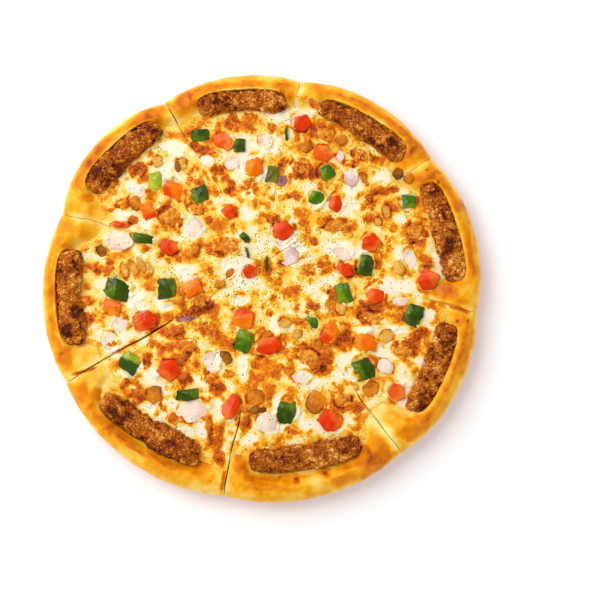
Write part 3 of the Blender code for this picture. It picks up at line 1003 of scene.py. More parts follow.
# Toppings that the cheese holds: x, y, length, width, turn and, where it isn't the usual one, the look.
BAKED_IN = {
    Kind.RED_PEPPER: (
        (-22, 51, 9, 9, 140, Look.EMBER), (-96.5, 41.5, 12, 5, 5), (-7.5, 10, 9, 10, 140),
        (57, 11.5, 12, 7, 150), (93, -73, 11, 12, 5, Look.SALMON),
    ),
    Kind.ORANGE_PEPPER: (
        (-77, 51, 9, 12, 20, Look.ORANGE_RED), (47.5, -32, 10, 15, 150, Look.ORANGE_RED),
        (71, -39, 14, 11, 0), (-102, -14.5, 13, 9, 160),
    ),
    Kind.GREEN_PEPPER: (
        (-14.5, 96, 9, 10, 0), (-72, 71.5, 9, 13, 15, Look.LIME), (8, 76.5, 9, 12, 170, Look.OLIVE),
        (45, 77.5, 10, 10, 30, Look.BRIGHT), (101, 57.5, 9, 9, 0, Look.BRIGHT),
        (-11.5, -38, 12, 15, 160, Look.BRIGHT), (-50.5, -74, 16, 7, 5), (35, -25, 8, 8, 0, Look.BRIGHT),
        (-11, 33, 8, 5, 130), (17.4, 104, 2.2, 10, 5), (3.9, 14.7, 1.8, 11, 178),
        (-9.5, 22, 1.6, 9, 10),
    ),
    Kind.ONION: (
        (-51, -22.5, 13, 3.2, 8, Look.PURPLE), (14.5, 72, 8, 7, 20, Look.PURPLE), (-37, 86, 10, 8, 160),
        (-20, 84, 10, 8, 10), (-85, 65, 11, 9, 0), (3, 99, 10, 8, 160),
        (61, 75, 10, 13, 10, Look.LILAC), (54, 89, 5, 8, 10, Look.LILAC), (56, 22, 14, 8, 165),
        (102, 19, 8, 12, 20), (-96, -26, 12, 10, 30), (-103, -38, 11, 12, 20), (-34, -52, 12, 12, 40),
        (95, -10.5, 13, 6, 5), (85, -55, 11, 9, 160), (28, -62, 12, 9, 20), (62.5, -60.5, 7, 13, 30),
    ),
    Kind.MUSHROOM: (
        (-71, 85, 7, 8, 0, Look.TAN), (-54, 84, 7, 9, 0, Look.TAN), (-86, 57, 8, 12, 20),
        (-109.5, 24, 7, 9, 40, Look.DARK), (-93, 11, 5, 9, 20, Look.TAN),
        (-82, 14.5, 4.5, 12, 25, Look.TAN), (95, 12, 8, 11, 30, Look.TAN),
        (94, 77, 7, 8, 150, Look.DARK), (86, 51, 5, 9, 10, Look.TAN), (-73, -75, 9, 13, 160),
        (-3, -76, 12, 12, 0), (75.5, -70, 11, 11, 0), (85.5, -34, 10, 9, 20, Look.TAN),
        (-24, -49, 7, 10, 30, Look.DARK), (-87.5, 12.5, 4.5, 10, 25, Look.TAN),
        (-76.5, 13, 4, 9, 25, Look.TAN), (31, 95, 9, 8, 10), (55, 100, 8, 7, 20),
        (80, 44, 6, 5, 100, Look.TAN), (70, 74, 9, 4, 120), (101, 74, 8, 7, 30), (-28, 1, 8, 7, 15),
        (55, -15, 8, 7, 100, Look.TAN), (17, -25, 8, 7, 20, Look.TAN), (4, -33, 8, 5, 30),
        (25, -33, 7, 6, 10, Look.TAN), (39, -39, 5, 6, 20), (46, -45, 6, 5, 60),
        (-3, -85, 14, 5, 5, Look.DARK), (-57, 82, 8, 4, 95, Look.DARK), (49, -12, 7, 10, 150),
        (-21, 9, 5, 7, 140), (-45, 26, 5, 9, 5), (-101, 70, 7, 5, 15),
    ),
    Kind.CHICKEN: (
        (-62, 47, 15, 14, 140), (-24, 27, 18, 11, 175), (-44, 52.5, 13, 7, 170), (44, 104, 14, 10, 165),
        (68, 90, 12, 8, 165), (28, 82, 15, 12, 20), (52, 41, 18, 10, 5), (104, 37, 14, 13, 30),
        (33, 12, 13, 7, 0), (-40, -11, 15, 8, 20), (-50, -41, 12, 9, 20), (33, -50, 19, 12, 150),
        (97, -44, 15, 10, 160), (76, -22, 17, 9, 175), (56, -78, 10, 10, 150),
    ),
}

# The looks of the laid-on toppings that aren't their kind's usual one.
LAID_ON_LOOKS = {
    "red_pepper_01": Look.SALMON,
    "red_pepper_03": Look.SALMON,
    "red_pepper_08": Look.EMBER,
    "orange_pepper_02": Look.ORANGE_RED,
    "orange_pepper_04": Look.ORANGE_RED,
    "green_pepper_04": Look.BRIGHT,
    "green_pepper_06": Look.BRIGHT,
    "green_pepper_12": Look.HALF_LIME,
    "onion_03": Look.LILAC,
}

# Where the cheese browned: orange blisters with brown middles.
BROWNED = patches(
    (-20, 112, 13, 12), (-8, 114, 12, 16), (-47, 113, 13, 11, 0, 0.8), (-36, 112, 9, 9),
    (-30, 107, 12, 9, 0, 0.85), (-72, 97, 10, 12), (-42, 94, 24, 11, -20), (-83, 79, 16, 15),
    (-45, 75, 14, 12, 0, 0.75), (-28, 77, 11, 18), (-20, 67, 10, 11), (-8, 67, 18, 9),
    (-97, 56, 19, 9, 15), (-107, 55, 6, 6, 0, 0.8), (-47, 55, 17, 9), (-62, 46, 19, 20),
    (-87, 45, 9, 7), (-25, 27, 24, 15), (-62, 21, 14, 13), (-108, 13, 20, 9, 0, 0.8), (-77, 25, 7, 5),
    (-122, 46, 9, 5), (-44, 24, 7, 10, 0, 0.8), (30, 131, 14, 9, 0, 0.75), (36, 124, 5, 7, 0, 0.8),
    (7, 107, 6, 9, 0, 0.8), (33, 106, 13, 15), (45, 105, 15, 14), (28, 80, 22, 18), (17, 84, 10, 8),
    (68, 90, 17, 10), (62, 86, 12, 9, 0, 0.85), (76, 87, 9, 8, 0, 0.9), (22, 63, 12, 7, 0, 0.75),
    (76, 57, 11, 16), (81, 65, 16, 6), (90, 66, 11, 5), (9, 46, 12, 9), (8, 60, 5, 10),
    (36, 31, 9, 7, 0, 0.85), (28, 40, 14, 10, 0, 0.7), (50, 41, 24, 13), (74, 46, 9, 10, 0, 0.9),
    (34, 11, 20, 10, 0, 0.8), (106, 36, 17, 20, 10), (97, 30, 9, 6, 0, 0.9), (88, 33, 11, 12, 0, 0.85),
    (113, 17, 12, 9, 0, 0.75), (81, 20, 8, 15, 0, 0.75), (78, 2, 11, 5), (46, -4, 7, 6),
    (-117, -13, 14, 12, 0, 0.85), (-118, -22, 10, 12, 0, 0.8), (-110, -39, 22, 7, 0, 0.85),
    (-120, -44, 9, 9, 0, 0.85), (-111, -45, 9, 8, 0, 0.8), (-93, -68, 7, 11, 0, 0.85),
    (-86, -69, 9, 9, 0, 0.85), (-83, -77, 15, 8, 0, 0.8), (-78, -53, 7, 16), (-72, -30, 15, 11),
    (-58, -32, 13, 11, 0, 0.85), (-73, -40, 13, 7), (-63, -42, 15, 6), (-52, -47, 12, 14),
    (-38, -30, 15, 10, 0, 0.7), (-49, -18, 18, 6, 20), (-38, -13.5, 19, 13), (-34, -62, 15, 9, 0, 0.9),
    (-23, -60, 9, 9, 0, 0.9), (-30, -70, 11, 11), (-57, -65, 20, 14), (-67, -82, 9, 9, 0, 0.9),
    (-60, -92, 14, 14, 0, 0.7), (-31, -101, 12, 21), (-11, -97, 20, 8, 65), (-29, -115, 7, 18, 15),
    (-2, -57, 13, 20, 0, 0.7), (35, -13, 11, 6, 0, 0.9), (31, -20, 5, 7), (6, -18, 7, 5),
    (58, -36, 14, 16), (48, -12, 10, 15, 0, 0.75), (28, -44, 18, 14), (40, -54, 20, 16, -30),
    (68, -16, 14, 14), (80, -16, 20, 12, 0, 0.95), (78, -24, 18, 6), (92, -22, 9, 9),
    (107, -32, 14, 11, 30), (98, -43, 25, 17, -15), (122, -13, 18, 6), (133, -15, 14, 6),
    (57, -80, 17, 14), (50, -70, 7, 11, 0, 0.9), (66, -84, 13, 8, 0, 0.75), (70, -90, 9, 8, 0, 0.9),
    (82, -92, 6, 11, 30), (22, -98, 11, 8, 0, 0.7),
)

# Where it burnt, with thin lines of painted shade along some of the cuts.
BURNT_AND_SHADED = patches(
    (8, 60, 3, 9), (69, -76, 5, 5), (-61, -27, 4, 4), (-38, -14, 14, 8, 0, 0.8), (94, 75, 5, 4),
    (-25, 24, 12, 6, 0, 0.7), (45, 103, 6, 6), (-38, 52, 5, 5), (46, -4, 5, 4), (9, 46, 5, 4),
    (1, -17, 3, 12), (7, -18, 3, 6), (-72, -31, 9, 7, 0, 0.8), (-37, 75, 3, 14, 30),
    (-8.5, -58, 2, 18, 0, 0.8), (40, -56, 10, 6, 0, 0.5), (-120, 45, 6, 3), (-50, -20, 9, 4, 0, 0.6),
)

# Where it dried to a golden yellow.
GOLDEN = patches(
    (-56, 104, 16, 9), (-80, 90, 13, 6), (-3, 56, 9, 9), (-28, 39, 12, 11), (-50, 17, 14, 6),
    (-32, 14, 12, 8), (-112, 58, 12, 26, 30), (40, 113, 16, 6), (47, 68, 15, 7), (79, 85, 14, 11),
    (30, 50, 14, 9), (45, 12, 14, 8), (88, 20, 10, 12), (95, 10, 12, 12), (25, -3, 8, 7),
    (62, 40, 11, 9), (-108, -22, 16, 12), (-105, -57, 30, 8, 20), (30, -8, 18, 9), (20, -24, 16, 9),
    (5, -60, 22, 30), (20, -68, 18, 14), (103, -57, 11, 13), (-30, -38, 22, 15), (87, -86, 10, 9),
    (14, 72, 12, 12), (-15, 60, 16, 12), (65, 8, 12, 10),
)

# Where it melted to smooth cream.
CREAMY = patches(
    (-60, 95, 22, 12), (-65, 80, 10, 30), (-76, 97, 9, 8), (-20, 57, 12, 8), (-85, 68, 16, 13),
    (-92, 47, 15, 8), (-45, 40, 17, 17), (-10, 50, 14, 12), (-50, 9, 20, 14), (-18, 14, 26, 16),
    (-125, 48, 16, 5, -15), (-97, 30, 24, 15), (-12, 2, 16, 12), (-108, 38, 12, 14),
    (-62, 112, 8, 20, 30), (10, 118, 14, 13), (34, 119, 10, 7), (5, 98, 18, 18), (85, 74, 20, 14, -20),
    (62, 70, 14, 22), (60, 55, 14, 16), (20, 28, 22, 15), (52, 25, 26, 12), (102, 18, 10, 16, 20),
    (95, 46, 10, 9), (92, 0, 24, 9), (3, 75, 12, 14), (-105, -38, 18, 16), (-90, -33, 26, 11, 15),
    (-100, -24, 14, 12), (-115, -52, 30, 10, 22), (-75, -62, 14, 13), (-65, -12, 14, 11),
    (-85, -11, 15, 13), (-15, -10, 17, 9), (-12, -54, 9, 28, 10), (-76, -84, 16, 6, -15),
    (-95, -60, 18, 7), (-40, -100, 8, 18, 10), (-10, -105, 14, 7), (57, -50, 14, 11),
    (59, -60, 12, 24, 30), (81, -45, 15, 11), (95, -30, 14, 7), (113, -20, 12, 12), (73, -30, 22, 5),
    (98, -62, 10, 15), (32, -95, 18, 8), (60, -92, 10, 9), (11, -82, 9, 16), (10, -28, 14, 10),
    (-33, -50, 16, 15), (80, -4, 8, 6), (5, -95, 16, 15), (-50, -40, 8, 8), (90, -70, 8, 14),
    (100, 66, 10, 5),
)

# Where the kebabs charred.
CHARRED = patches(
    (-112, 77, 12, 9, 43), (-127, -18, 6, 9), (-132, -30, 7, 8), (128, 27, 8, 12),
    (110, -75, 8, 14, -20, 0.7), (126, -38, 10, 8, 0, 0.8), (-100, -86, 10, 7, -30, 0.6),
    (56, -112, 10, 5, 10, 0.5), (-60, -108, 14, 6, -30, 0.5), (88, 98, 10, 6, -30, 0.6),
)

# Where the crust baked to a deep orange.
ORANGE = patches(
    (-52, 126, 13, 15), (-135, 38, 18, 22), (-134, -50, 14, 16), (-120, -76, 18, 15, -40),
    (-40, -128, 14, 16), (-15, -121, 15, 14), (78, -113, 20, 24, -30), (104, -97, 26, 14, 35),
    (126, -3, 14, 14), (111, 76, 22, 9, 15), (103, 93, 12, 12), (22, 128, 16, 10),
    (138, -48, 8, 30, -20, 0.7), (-104, -98, 8, 34, -50, 0.7), (60, -131, 30, 7, 15, 0.6),
    (2, -137, 26, 6, 0, 0.6), (-139, 0, 7, 34, 0, 0.6), (-108, 98, 34, 7, 45, 0.5),
    (-82, 112, 18, 9, 35, 0.8), (-15, 137, 34, 5, 0, 0.6), (80, 118, 34, 5, -32, 0.6),
    (141, 40, 5, 40, 5, 0.6),
)

# Where the crust burnt in spots and patches, with thin lines of painted shade along the kebabs' pockets
# and the cuts.
SCORCHED_AND_SHADED = patches(
    (-25, -128, 2.5, 30, -9, 0.8), (134, -15, 16, 4, -20, 0.9), (-84, -112, 28, 3, -31, 0.6),
    (112, 73, 16, 3, 12, 0.7), (-47, 128, 9, 9, 0, 0.5), (15, 133, 4, 7, 0, 0.6),
    (-120, -58, 18, 3, 17, 0.9), (-118, 60, 8, 6, 0, 0.4), (8, -132, 18, 4, 0, 0.5),
    (24, -133, 6, 4, 0, 0.6), (45, -129, 6, 4, 0, 0.5), (75, -128, 18, 8, 30, 0.45),
    (104, -98, 22, 12, 30, 0.5), (-112, -74, 14, 12, 0, 0.45), (-137, -10, 6, 30, 0, 0.3),
    (44, -128, 4, 3), (24, -132, 3, 2), (13, -131, 3, 3, 0, 0.9), (134, -24, 3, 3), (141, -24, 2, 3),
    (113, 79, 3, 2), (118, 76, 3, 3), (121, 71, 2, 3), (-48, 128, 2, 7, 20), (120, -3, 8, 10, 0, 0.5),
    (-100, -98, 26, 6, -40, 0.4), (79, -110, 14, 14, 0, 0.4),
)


def unit_noise(number: int, seed: int) -> float:
    """Draws one fixed number from 0 to 1."""
    return random.Random(1000 * seed + number).random()


@dataclass
class Lump:
    """A topping's outline and planes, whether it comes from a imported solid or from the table."""

    name: str
    kind: Kind
    look: Look
    outline: Array
    top: Vector
    normal: Vector
    thickness: float
    seed: int

    @property
    def baked_in(self) -> bool:
        """Whether the cheese holds it, so that it has no solid of its own."""
        return self.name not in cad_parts

    @property
    def middle(self) -> Array:
        """The middle of its outline."""
        return self.outline.mean(axis=0)

    def patch(self) -> Patch:
        """Gives the oval that it takes up.

        Returns:
            The oval, as long and as wide as the outline.
        """
        away = self.outline - self.middle
        spread = np.linalg.svd(away, full_matrices=False)[2]
        size = np.abs(away @ spread.T).max(axis=0) * 2
        turn = math.degrees(math.atan2(spread[0][1], spread[0][0]))
        return Patch(*self.middle, *size, turn)

    def away(self, x: Array, y: Array) -> Array:
        """Gives roughly how many millimetres outside its outline places lie."""
        return -6 * self.patch().depth(x, y)


def lump_from_node(name: str, seed: int) -> Lump:
    """Reads a laid-on topping's outline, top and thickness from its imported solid.

    Args:
        name: The name of the solid's node.
        seed: What its unevenness is drawn from.

    Returns:
        The topping.
    """
    kind = next(kind for kind in Kind if name.startswith(kind.slot))
    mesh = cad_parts[name].data
    plan = [Vector(vert.co.xy) / MM for vert in mesh.vertices]
    outline = np.array([plan[number][:] for number in geometry.convex_hull_2d(plan)])
    upper = max(mesh.polygons, key=lambda face: face.area * (face.normal.z > 0.95))
    lower = max(mesh.polygons, key=lambda face: face.area * (face.normal.z < -0.95))
    thickness = (upper.center - lower.center).dot(upper.normal) / MM
    look = LAID_ON_LOOKS.get(name, kind.look)
    return Lump(name, kind, look, outline, upper.center / MM, upper.normal.copy(), thickness, seed)


def lump_from_row(kind: Kind, number: int, row: Sequence) -> Lump:
    """Works out a baked-in topping's outline, top and thickness from its row in the table.

    Args:
        kind: What it is.
        number: Its place among its kind, counted from 1.
        row: Its middle, length, width and turn, and its look where that isn't the usual one.

    Returns:
        The topping.
    """
    x, y, length, width, turn = row[:5]
    look = row[5] if len(row) > 5 else kind.look
    seed = 1000 + 100 * list(Kind).index(kind) + number
    draw = random.Random(seed)
    step = 2 * math.pi / kind.corners
    reach = 0.5 / math.cos(step / 2)
    uneven = [draw.uniform(0.84, 1.04) for _ in range(kind.corners)]
    tilt = Matrix.Rotation(math.radians(draw.uniform(-7, 7)), 3, "X")
    tilt @= Matrix.Rotation(math.radians(draw.uniform(-7, 7)), 3, "Y")
    turned = Matrix.Rotation(math.radians(turn), 3, "Z")
    corners = []
    for corner in range(kind.corners):
        angle = step * (corner + 0.5)
        flat = Vector((math.cos(angle) * length, math.sin(angle) * width, 0)) * reach * uneven[corner]
        corners.append((turned @ flat).xy + Vector((x, y)))
    outline = np.array([corner[:] for corner in corners])
    top = Vector((x, y, CHEESE_LEVEL + kind.thickness - kind.sunk))
    normal = turned @ tilt @ Vector((0, 0, 1))
    name = f"{kind.slot}_baked_{number:02d}"
    return Lump(name, kind, look, outline, top, normal, kind.thickness, seed)


def rounded_outline(corners: Array, rounded: float, along_edges: int, seed: int) -> Array:
    """Rounds a polygon's corners and bows its edges in or out.

    Args:
        corners: Its corners in order.
        rounded: The share of half an edge that a corner's round takes.
        along_edges: How many points to put on each straight stretch.
        seed: Another seed bows the edges otherwise.

    Returns:
        The points of the rounded outline.
    """
    points = []
    count = len(corners)
    for number in range(count):
        before, here, after = corners[number - 1], corners[number], corners[(number + 1) % count]
        start = here + (before - here) * rounded / 2
        end = here + (after - here) * rounded / 2
        for bend in np.linspace(0, 1, 5):
            points.append(start * (1 - bend) ** 2 + here * 2 * bend * (1 - bend) + end * bend**2)
        leave = after + (here - after) * rounded / 2
        bow = 0.13 * unit_noise(10 * seed + number, 5) - 0.05
        aside = np.array([after[1] - here[1], here[0] - after[0]]) * bow
        for part in np.linspace(0, 1, along_edges + 2)[1:-1]:
            points.append(end * (1 - part) + leave * part + aside * math.sin(math.pi * part))
    return np.array(points)


@dataclass(frozen=True)
class Topping:
    """One diced topping: a rounded, slightly crowned piece with its cut sides showing.

    Its top ends at the shoulder, a share of the outline, and rounds over an edge that drops
    by edge_drop. Where the knife went through, it stays knife_gap off the cut.
    """

    lump: Lump
    wedge: Wedge
    top_shares: tuple[float, ...] = (0.1, 0.22, 0.34, 0.46, 0.57, 0.67, 0.76, 0.83)
    shoulder: float = 0.94
    edge: float = 0.08
    edge_drop: float = 0.65
    knife_gap: float = 0.12

    def rings(self) -> list[tuple[float, float]]:
        """Lists the rings from the middle of the top to the underside.

        Returns:
            Each ring's share of the outline and its drop below the top.
        """
        thick = self.lump.thickness
        top = [(share, 0.0) for share in self.top_shares]
        round_edge = [
            (self.shoulder - self.edge * (1 - math.sin(turn)), self.edge_drop * (1 - math.cos(turn)))
            for turn in np.linspace(0.1, math.pi / 2, 5)
        ]
        side = [
            (self.shoulder + (1 - self.shoulder) * part, self.edge_drop + (thick - 1.2) * part)
            for part in (0.25, 0.5, 0.75, 1.0)
        ]
        foot = [(0.97, thick - 0.15), (0.9, thick), (0.5, thick)]
        return top + round_edge + side + foot

    def rim(self) -> Array:
        """Lays out the rim, rounded and a little uneven.

        Returns:
            Its points' X and Y from the topping's middle.
        """
        lump, kind = self.lump, self.lump.kind
        along_edges = 4 if kind.corners > 5 else 7
        if len(lump.outline) >= 12:
            along_edges = 1
        points = rounded_outline(lump.outline, kind.rounded, along_edges, lump.seed)
        wobble = 1 + 0.05 * kind.rough / 0.15 * mottle(points[:, 0], points[:, 1], 3.5, lump.seed)
        return (points - lump.middle) * kind.spread * np.clip(wobble, 0.8, 1.06)[:, None]

    def heights(self, x: Array, y: Array, shares: Array, drops: Array) -> Array:
        """Works out the heights of the rings' points: tilted, crowned, folded and rough on top.

        Args:
            x, y: Their places on the plan.
            shares: The rings' shares of the outline, one to a row.
            drops: The rings' drops below the top, one to a row.

        Returns:
            Heights in millimetres.
        """
        lump, kind = self.lump, self.lump.kind
        rise = lump.normal.x * (x - lump.top.x) + lump.normal.y * (y - lump.top.y)
        level = lump.top.z - rise / lump.normal.z
        on_top = fade(drops, 2, 0)
        crown = kind.crown * (1 - shares**2)
        bumps = kind.rough * mottle(x, y, 3.2, lump.seed + 5, 3)
        if kind is Kind.CHICKEN:
            knobs, _ = domes(x, y, 3.4, lump.seed)
            bumps = bumps + 1.1 * knobs - 0.5
        heading = math.pi * unit_noise(lump.seed, 4)
        aside = (x - lump.middle[0]) * math.cos(heading) + (y - lump.middle[1]) * math.sin(heading)
        fold = -kind.fold * np.abs(aside + 2.0 * (unit_noise(lump.seed, 6) - 0.5))
        return level - drops + (crown + bumps + fold - 0.2) * on_top

    def form(self) -> tuple[Shell, Array, Array]:
        """Builds the piece.

        Returns:
            Its shell, and for each point its share of the outline and its drop below the top.
        """
        away = self.rim()
        shares, drops = np.array(self.rings()).T
        plan = self.lump.middle + shares[:, None, None] * away[None]
        x, y = plan[..., 0], plan[..., 1]
        z = self.heights(x, y, shares[:, None], drops[:, None])
        shell = Shell()
        shell.add_tube(np.stack([x, y, z], axis=-1), self.lump.middle)
        point_shares = np.concatenate([np.repeat(shares, len(away)), [shares[0], shares[-1]]])
        point_drops = np.concatenate([np.repeat(drops, len(away)), [0.0, drops[-1]]])
        return shell, point_shares, point_drops

    def build(self) -> Object:
        """Makes the topping, cut off where the knife went through it.

        Returns:
            The piece, which has no faces where none of it lies on the slice.
        """
        lump = self.lump
        shell, shares, drops = self.form()
        x, y, _ = shell.all_points().T
        heading = 2 * math.pi * unit_noise(lump.seed, 3)
        lean = (x - lump.middle[0]) * math.cos(heading) + (y - lump.middle[1]) * math.sin(heading)
        lean = lean / 7
        patchy = mottle(x, y, 5.0, lump.seed + 9)
        rim = fade(drops, 0.35, 1.55)
        if lump.kind in (Kind.ONION, Kind.MUSHROOM):
            one_side = smooth(lean + 0.3 * patchy + 0.4)
            rim = np.maximum(rim, 0.8 * fade(shares, 0.7, 0.9) * one_side)
        thing = shell.object(
            f"{lump.name}_{self.wedge.number}" if lump.baked_in else f"diced_{lump.name}",
            {"rim": rim, "tone": smooth(lean * 2 + 0.4 * patchy), "herbs": 0.12 * (drops < 0.5)},
        )
        self.trim(thing.data)
        return thing

    def trim(self, mesh: Mesh) -> None:
        """Cuts the piece off at the slice's two cuts.

        Args:
            mesh: Its mesh.
        """
        bm = bmesh.new()
        bm.from_mesh(mesh)
        for cut, inward in ((self.wedge.first, 1), (self.wedge.last, -1)):
            normal = cut.left() * inward
            edge = (CUT_CENTRE + normal * self.knife_gap) * MM
            made = bmesh.ops.bisect_plane(
                bm,
                geom=bm.verts[:] + bm.edges[:] + bm.faces[:],
                plane_co=(*edge, 0.0),
                plane_no=(*-normal, 0.0),
                clear_outer=True,
            )
            rim = [part for part in made["geom_cut"] if isinstance(part, bmesh.types.BMEdge)]
            if rim:
                bmesh.ops.holes_fill(bm, edges=rim)
        bm.to_mesh(mesh)
        bm.free()


@dataclass(frozen=True)
class Layer:
    """What a slice's dough and its cheese share: the plan, the kebab's bed and the closed sides.

    The meshes are made of rays, one to a column, from the tip to the crust's outer edge. The
    crust's foot starts crust_start inside that edge, and further in at the corners.
    """

    wedge: Wedge
    kebab: Kebab
    columns: int = 150
    side_levels: int = 5
    crust_start: float = 20.0
    crust_pores: Mottling = Mottling(0.2, 3.0, 47)

    @property
    def number(self) -> int:
        """The slice's number, counted from 1."""
        return self.wedge.number

    @property
    def ray_shares(self) -> Array:
        """The rays' shares of the slice's angle, in one row."""
        return np.linspace(0, 1, self.columns + 1)[None]

    def crust_height(self, x: Array, y: Array) -> Array:
        """Gives the height of the crust's upper side, without the kebab's bed.

        Returns:
            Heights in millimetres, going on level inside the crust's foot.
        """
        inset = self.wedge.inset(x, y)
        inward = np.clip(inset / CRUST_WIDTH, 0, 1)
        base = CRUST_SHOULDER * (1 - inward) + CRUST_INNER_HEIGHT * inward
        height = base + self.wedge.crest(x, y)
        rise = np.maximum(0, height - CRUST_INNER_HEIGHT)
        aside = np.abs(2 * self.wedge.share(x, y) - 1)
        height = height - CUT_PRESS * rise * aside**CUT_PRESS_REACH
        over = np.minimum(1, rise / RELIEF_FADE)
        height = height + CRUST_RELIEF * over * relief(x, y, CRUST_GRAIN, self.number - 1)
        swelling = 0.6 * mottle(x, y, 9.0, 40 + self.number, 3)
        height = height + over * (swelling + self.crust_pores.at(x, y))
        beside_kebab = bell(np.maximum(self.kebab.outside(x, y), 0), 0, 2.2)
        return height - 1.6 * over * beside_kebab

    def bed(self, x: Array, y: Array, height: Array) -> Array:
        """Presses the kebab's bed into a surface, of which the heights at places are given."""
        size = self.kebab.size_at(x, y)
        hollow = BED_RIM - BED_DEPTH * np.sqrt(np.clip(1 - size**2, 0, 1))
        return np.where(size < 1.0, np.minimum(height, hollow), height)

    def foot_inset(self) -> Array:
        """Gives how far inside its outer edge the crust's foot lies.

        Returns:
            A distance for each ray.
        """
        share = self.ray_shares
        arc = np.radians(self.wedge.last_angle - self.wedge.first.angle) * self.wedge.reach
        from_cut = (0.5 - np.abs(share - 0.5)) * arc
        wider = np.maximum(self.wedge.corner(share) - CRUST_WIDTH, 0)
        span = EAR_SPAN + 2
        return self.crust_start + wider * fade(from_cut, span, span - EAR_FADE)

    def block(
        self,
        outs: Array,
        top: Array,
        foot: float,
        tip_top: float,
        inner_feet: int,
        foot_share: float,
    ) -> Shell:
        """Builds a closed wedge from the rows of its top and outer wall.

        Args:
            outs: Distances of the rows from the tip, rows by columns.
            top: X, Y and Z of the rows, the last being the foot of the outer wall.
            foot: The height of the underside.
            tip_top: The height of the top at the tip.
            inner_feet: How many rows belong to the top and not to the outer wall.
            foot_share: How far out their feet reach, as a share of the underside's length.

        Returns:
            The shell.
        """
        shell = Shell()
        heights = np.linspace(tip_top, foot, self.side_levels + 1)
        tips = shell.add_points(np.array([[*self.wedge.tip, height] for height in heights]))
        grid = shell.add_points(top)
        shell.add_grid(grid)
        shell.add_faces(np.full(grid.shape[1] - 1, tips[0]), grid[0, :-1], grid[0, 1:])
        feet = []
        rows = len(outs)
        for column, share in ((0, 0.0), (-1, 1.0)):
            end = np.hypot(*(top[-1, column, :2] - self.wedge.tip))
            shares = outs[:inner_feet, column] / outs[:, column].max() * foot_share
            rest = np.linspace(foot_share, 1, rows - inner_feet + 1)[1:]
            spread = np.concatenate([shares, rest]) * end
            x, y = self.wedge.place(np.full(rows, share), spread, 0.05)
            base = np.stack([x, y, np.full(rows, foot)], axis=-1)[:-1]
            chain = top[:-1, column]
            levels = [grid[:-1, column]]
            for level in range(1, self.side_levels + 1):
                levels.append(shell.add_points(chain + (base - chain) * level / self.side_levels))
            side = np.stack(levels, axis=0)
            wall = np.concatenate([tips[:, None], side], axis=1)
            shell.add_grid(wall)
            last = np.full(self.side_levels, grid[-1, column])
            shell.add_faces(wall[:-1, -1], wall[1:, -1], last)
            feet.append(side[-1])
        under = np.concatenate([tips[-1:], feet[0], grid[-1], feet[1][::-1]])
        shell.faces.append(under[None])
        return shell


